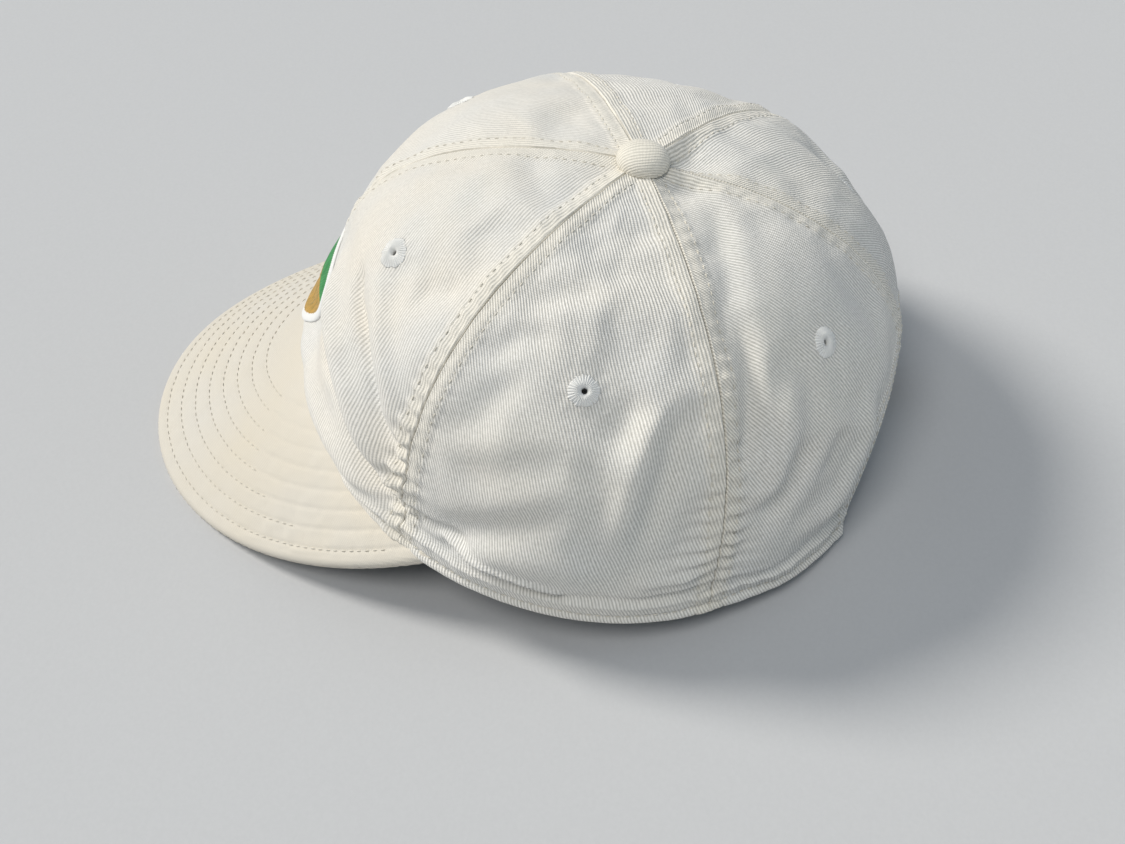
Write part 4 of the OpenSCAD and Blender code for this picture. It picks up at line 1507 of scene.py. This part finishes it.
def bevelled_copy(name, node, width, segments):
    """Copy of a CAD node with its sharp edges rounded."""
    mesh = frame["nodes"][node].data.copy()
    mesh.name = name
    obj = new_object(name, mesh)
    modify(obj, "WELD", merge_threshold=MERGE)
    modify(obj, "DECIMATE", decimate_type="DISSOLVE", angle_limit=math.radians(1))
    modify(obj, "BEVEL", width=width * MM, segments=segments, limit_method="ANGLE",
           angle_limit=math.radians(40))
    modify(obj, "WELD", merge_threshold=MERGE)
    apply_modifiers(obj)
    obj.data.polygons.foreach_set("use_smooth", np.ones(len(obj.data.polygons), bool))
    obj.data.set_sharp_from_angle(angle=math.radians(35))
    return obj


def apply_modifiers(obj):
    """Replaces an object's mesh with its modified mesh."""
    graph = bpy.context.evaluated_depsgraph_get()
    mesh = bpy.data.meshes.new_from_object(obj.evaluated_get(graph))
    obj.modifiers.clear()
    obj.data = mesh


def buckle_loop(material):
    """Cloth loop round the frame's bar."""
    obj = bevelled_copy("buckle_loop_cloth", "buckle_loop", 0.2, 2)
    set_cloth_uv(obj.data, mesh_points(obj.data)[:, [0, 2]])
    finish_piece(obj, material, replaces=["buckle_loop"])


def buckle(metal):
    """Metal parts of the buckle: node, edge rounding, its segments, and body."""
    for node, width, segments, body in (("buckle_frame", 0.18, 2, "crown"),
                                        ("buckle_pin", 0.12, 2, "crown"),
                                        ("buckle_lever", 0.2, 3, "lever")):
        obj = bevelled_copy(node + "_metal", node, width, segments)
        finish_piece(obj, metal, body=body, replaces=[node])


# ---- stage ----

CAMERA_AZIMUTH = 106.8
CAMERA_ELEVATION = 44.4
CAMERA_ROLL = -6.8
CAMERA_DISTANCE = 466
CAMERA_TARGET = (26.7, -9.1, 6.6)
CAMERA_LENS = 48.5
# Lamps: name, azimuth, elevation, apparent width in degrees, power and colour
LAMPS = [
    ("key", -14, 43, 18, 2.6, (1.0, 0.965, 0.91)),
    ("top", 78, 60, 25, 1.1, (1.0, 0.985, 0.96)),
    ("fill", 185, 32, 50, 0.34, (0.76, 0.88, 1.0)),
]
GLOW_STRENGTH = 0.24
# Gap between the CAD's lowest point and the floor, and half the floor's width, in metres
FLOOR_GAP = 0.0004
FLOOR_HALF_W = 6.0


def look_from(azimuth, elevation):
    """Unit vector from the object towards a viewer; azimuth 0 is the front."""
    a, e = math.radians(azimuth), math.radians(elevation)
    return np.array([math.sin(a) * math.cos(e), -math.cos(a) * math.cos(e), math.sin(e)])


def matrix_from(columns):
    """Matrix with the given axes and place as its columns."""
    made = Matrix.Identity(4)
    for c, column in enumerate(columns):
        for r in range(3):
            made[r][c] = column[r]
    return made


def aim(direction, place, roll=0.0):
    """Matrix of a camera or lamp at place, looking against direction."""
    right = unit(np.cross(-direction, [0, 0, 1.0]))
    up = np.cross(right, -direction)
    c, s = math.cos(math.radians(roll)), math.sin(math.radians(roll))
    return matrix_from((c * right + s * up, -s * right + c * up, direction, place))


def add_camera():
    """Camera fitted to the photograph's view."""
    data = bpy.data.cameras.new("camera")
    data.lens = CAMERA_LENS
    data.sensor_width = 36
    data.clip_start = 0.01
    camera = new_object("camera", data)
    back = look_from(CAMERA_AZIMUTH, CAMERA_ELEVATION)
    place = (np.array(CAMERA_TARGET) + back * CAMERA_DISTANCE) * MM
    camera.matrix_world = aim(back, place, CAMERA_ROLL)
    bpy.context.scene.camera = camera


def add_lamp(name, azimuth, elevation, spread, power, color):
    """Distant soft light; spread is its apparent width in degrees."""
    data = bpy.data.lights.new(name, "SUN")
    data.angle = math.radians(spread)
    data.energy = power
    data.color = color
    back = look_from(azimuth, elevation)
    new_object(name, data).matrix_world = aim(back, back)


def fade_floor(paint):
    """Lets the far floor melt into the backdrop."""
    far = paint.tree.nodes.new("ShaderNodeVectorMath")
    far.operation = "LENGTH"
    paint.plug(far.inputs[0], paint.position())
    away = paint.ramp(far.outputs["Value"], 0.5, 1.6)
    paint.plug(paint.bsdf.inputs["Alpha"], paint.math("SUBTRACT", 1.0, away))


def add_floor():
    """Pale paper under the cap."""
    low, half = cad_bounds[0][2] - FLOOR_GAP, FLOOR_HALF_W
    mesh = bpy.data.meshes.new("floor")
    corners = [(-half, -half, low), (half, -half, low), (half, half, low), (-half, half, low)]
    mesh.from_pydata(corners, [], [(0, 1, 2, 3)])
    paint = Paint("floor_paper")
    grain = paint.noise(paint.position(), 900.0, 3.0)
    color = paint.mix(grain, rgba(0.50, 0.505, 0.51), rgba(0.54, 0.545, 0.55))
    mesh.materials.append(paint.finish(color, 0.85))
    fade_floor(paint)
    new_object("floor", mesh)


def add_world():
    """Pale backdrop for the camera and a weaker, cooler glow for the light."""
    world = bpy.data.worlds.new("world")
    world.use_nodes = True
    tree = world.node_tree
    glow = tree.nodes["Background"]
    glow.inputs[0].default_value = rgba(0.74, 0.86, 1.0)
    glow.inputs[1].default_value = GLOW_STRENGTH
    backdrop = tree.nodes.new("ShaderNodeBackground")
    backdrop.inputs[0].default_value = rgba(0.60, 0.62, 0.635)
    backdrop.inputs[1].default_value = 1.0
    path = tree.nodes.new("ShaderNodeLightPath")
    mix = tree.nodes.new("ShaderNodeMixShader")
    tree.links.new(path.outputs["Is Camera Ray"], mix.inputs[0])
    tree.links.new(glow.outputs[0], mix.inputs[1])
    tree.links.new(backdrop.outputs[0], mix.inputs[2])
    tree.links.new(mix.outputs[0], tree.nodes["World Output"].inputs[0])
    bpy.context.scene.world = world


def add_stage():
    """Everything that is seen or shines but isn't the cap."""
    add_floor()
    add_world()
    for lamp in LAMPS:
        add_lamp(*lamp)
    add_camera()
    bpy.context.scene.view_settings.view_transform = "Standard"


# ---- the whole cap ----

def make_materials():
    """Every material of the cap, by the name it goes by in this section."""
    return {
        "twill": twill("crown_twill"),
        # Painted light: a warmer, lighter copy of the crown twill with less painted groove shade, for the brightly
        # lit front panels
        "front": twill("front_lit_twill", base=rgba(0.835, 0.787, 0.70), depth=0.27),
        # Painted highlight: a brighter copy of the twill with less painted groove shade, for the light on the
        # button's top
        "button": twill("button_lit_twill", base=rgba(0.87, 0.83, 0.73), pitch=0.8, depth=0.27),
        "visor": plain_weave("visor_weave", rgba(0.70, 0.665, 0.595), pitch=0.62, bump=0.00012),
        "band": plain_weave("inner_weave", rgba(0.76, 0.75, 0.70), pitch=0.6),
        "tape": plain_weave("tape_weave", rgba(0.78, 0.77, 0.73), pitch=0.7),
        "lining": plain_weave("lining_weave", rgba(0.8, 0.8, 0.78), pitch=0.9, sheen=0.0),
        "label": plain_weave("label_weave", rgba(0.85, 0.85, 0.85), pitch=0.25, bump=0.00002),
        "loop": plain_weave("loop_weave", rgba(0.78, 0.765, 0.71)),
        # Thread greyer and darker than the cloth: partly its own colour, partly painted shade of the stitches sunk
        # in their dents
        "thread": thread("cap_thread_painted_shade", rgba(0.72, 0.68, 0.59)),
        "white": thread("white_thread", rgba(0.84, 0.84, 0.82)),
        "eyelet": thread("eyelet_thread", rgba(0.84, 0.835, 0.805)),
        "green": thread("green_thread", rgba(0.03, 0.30, 0.07), 0.3, streaks=0.8),
        "gold": thread("gold_thread", rgba(0.55, 0.32, 0.06), 0.3, streaks=0.7),
        "brass": worn_metal("antique_brass", rgba(0.20, 0.13, 0.05), rgba(0.55, 0.40, 0.18), 0.28),
        "steel": worn_metal("pressed_steel", rgba(0.35, 0.35, 0.36), rgba(0.6, 0.6, 0.62), 0.3),
        "board": dull_plastic("board_plastic", rgba(0.05, 0.052, 0.056)),
    }


def build_outside(look):
    """Panels, visor, button, eyelets, badge and the stitching seen from outside."""
    for name, start in PANELS.items():
        # The front panels take the painted-light copy of the twill
        crown_panel(name, start, look["front" if "front" in name else "twill"])
    for face, side in (("top", 1), ("under", -1)):
        visor_cover(f"visor_{face}_cloth", side, f"visor_{face}_cover", look["visor"])
    for face, side in (("top", 1), ("under", -1)):
        visor_stitching(f"visor_{face}_stitch", side, look["thread"])
    covered_button(look["button"])
    for name, angle in EYELET_ANGLES.items():
        eyelet(name, angle, look["eyelet"])
    badge_border(look["white"])
    badge_field("badge_upper_thread", 1, "badge_upper_field", look["green"], "badge_green")
    badge_field("badge_lower_thread", -1, "badge_lower_field", look["gold"], "badge_gold")
    seam_stitching(look["thread"])
    hem_stitching(look["thread"])


def build_inside(look):
    """Seam tapes, sweatband, lining, binding and label."""
    for k, place in enumerate(("front", "front_left", "back_left", "back", "back_right", "front_right")):
        seam_tape("seam_tape_" + place, k * SPAN, OPENING_H + 11 if k == 3 else 1.2, look["tape"])
    reach = 180 - OPENING_HALF - 2.5
    sweatband(reach, look["band"])
    sweatband_stitching(reach, look["thread"])
    sweatband_lining(reach, look["lining"])
    opening_binding(look["tape"])
    care_label(look["label"])


def build_cap():
    """All pieces of the cap; the hard hidden parts keep their CAD shapes."""
    DRAPED[:] = drape_crown()
    look = make_materials()
    build_outside(look)
    build_inside(look)
    closure_strap(look["twill"])
    strap_stitching(look["thread"])
    buckle_loop(look["loop"])
    buckle(look["brass"])
    for node, material in (("visor_board", "board"), ("button_shell", "steel"), ("button_rivet", "steel")):
        mesh = frame["nodes"][node].data
        mesh.materials.clear()
        mesh.materials.append(look[material])


build_cap()
add_stage()
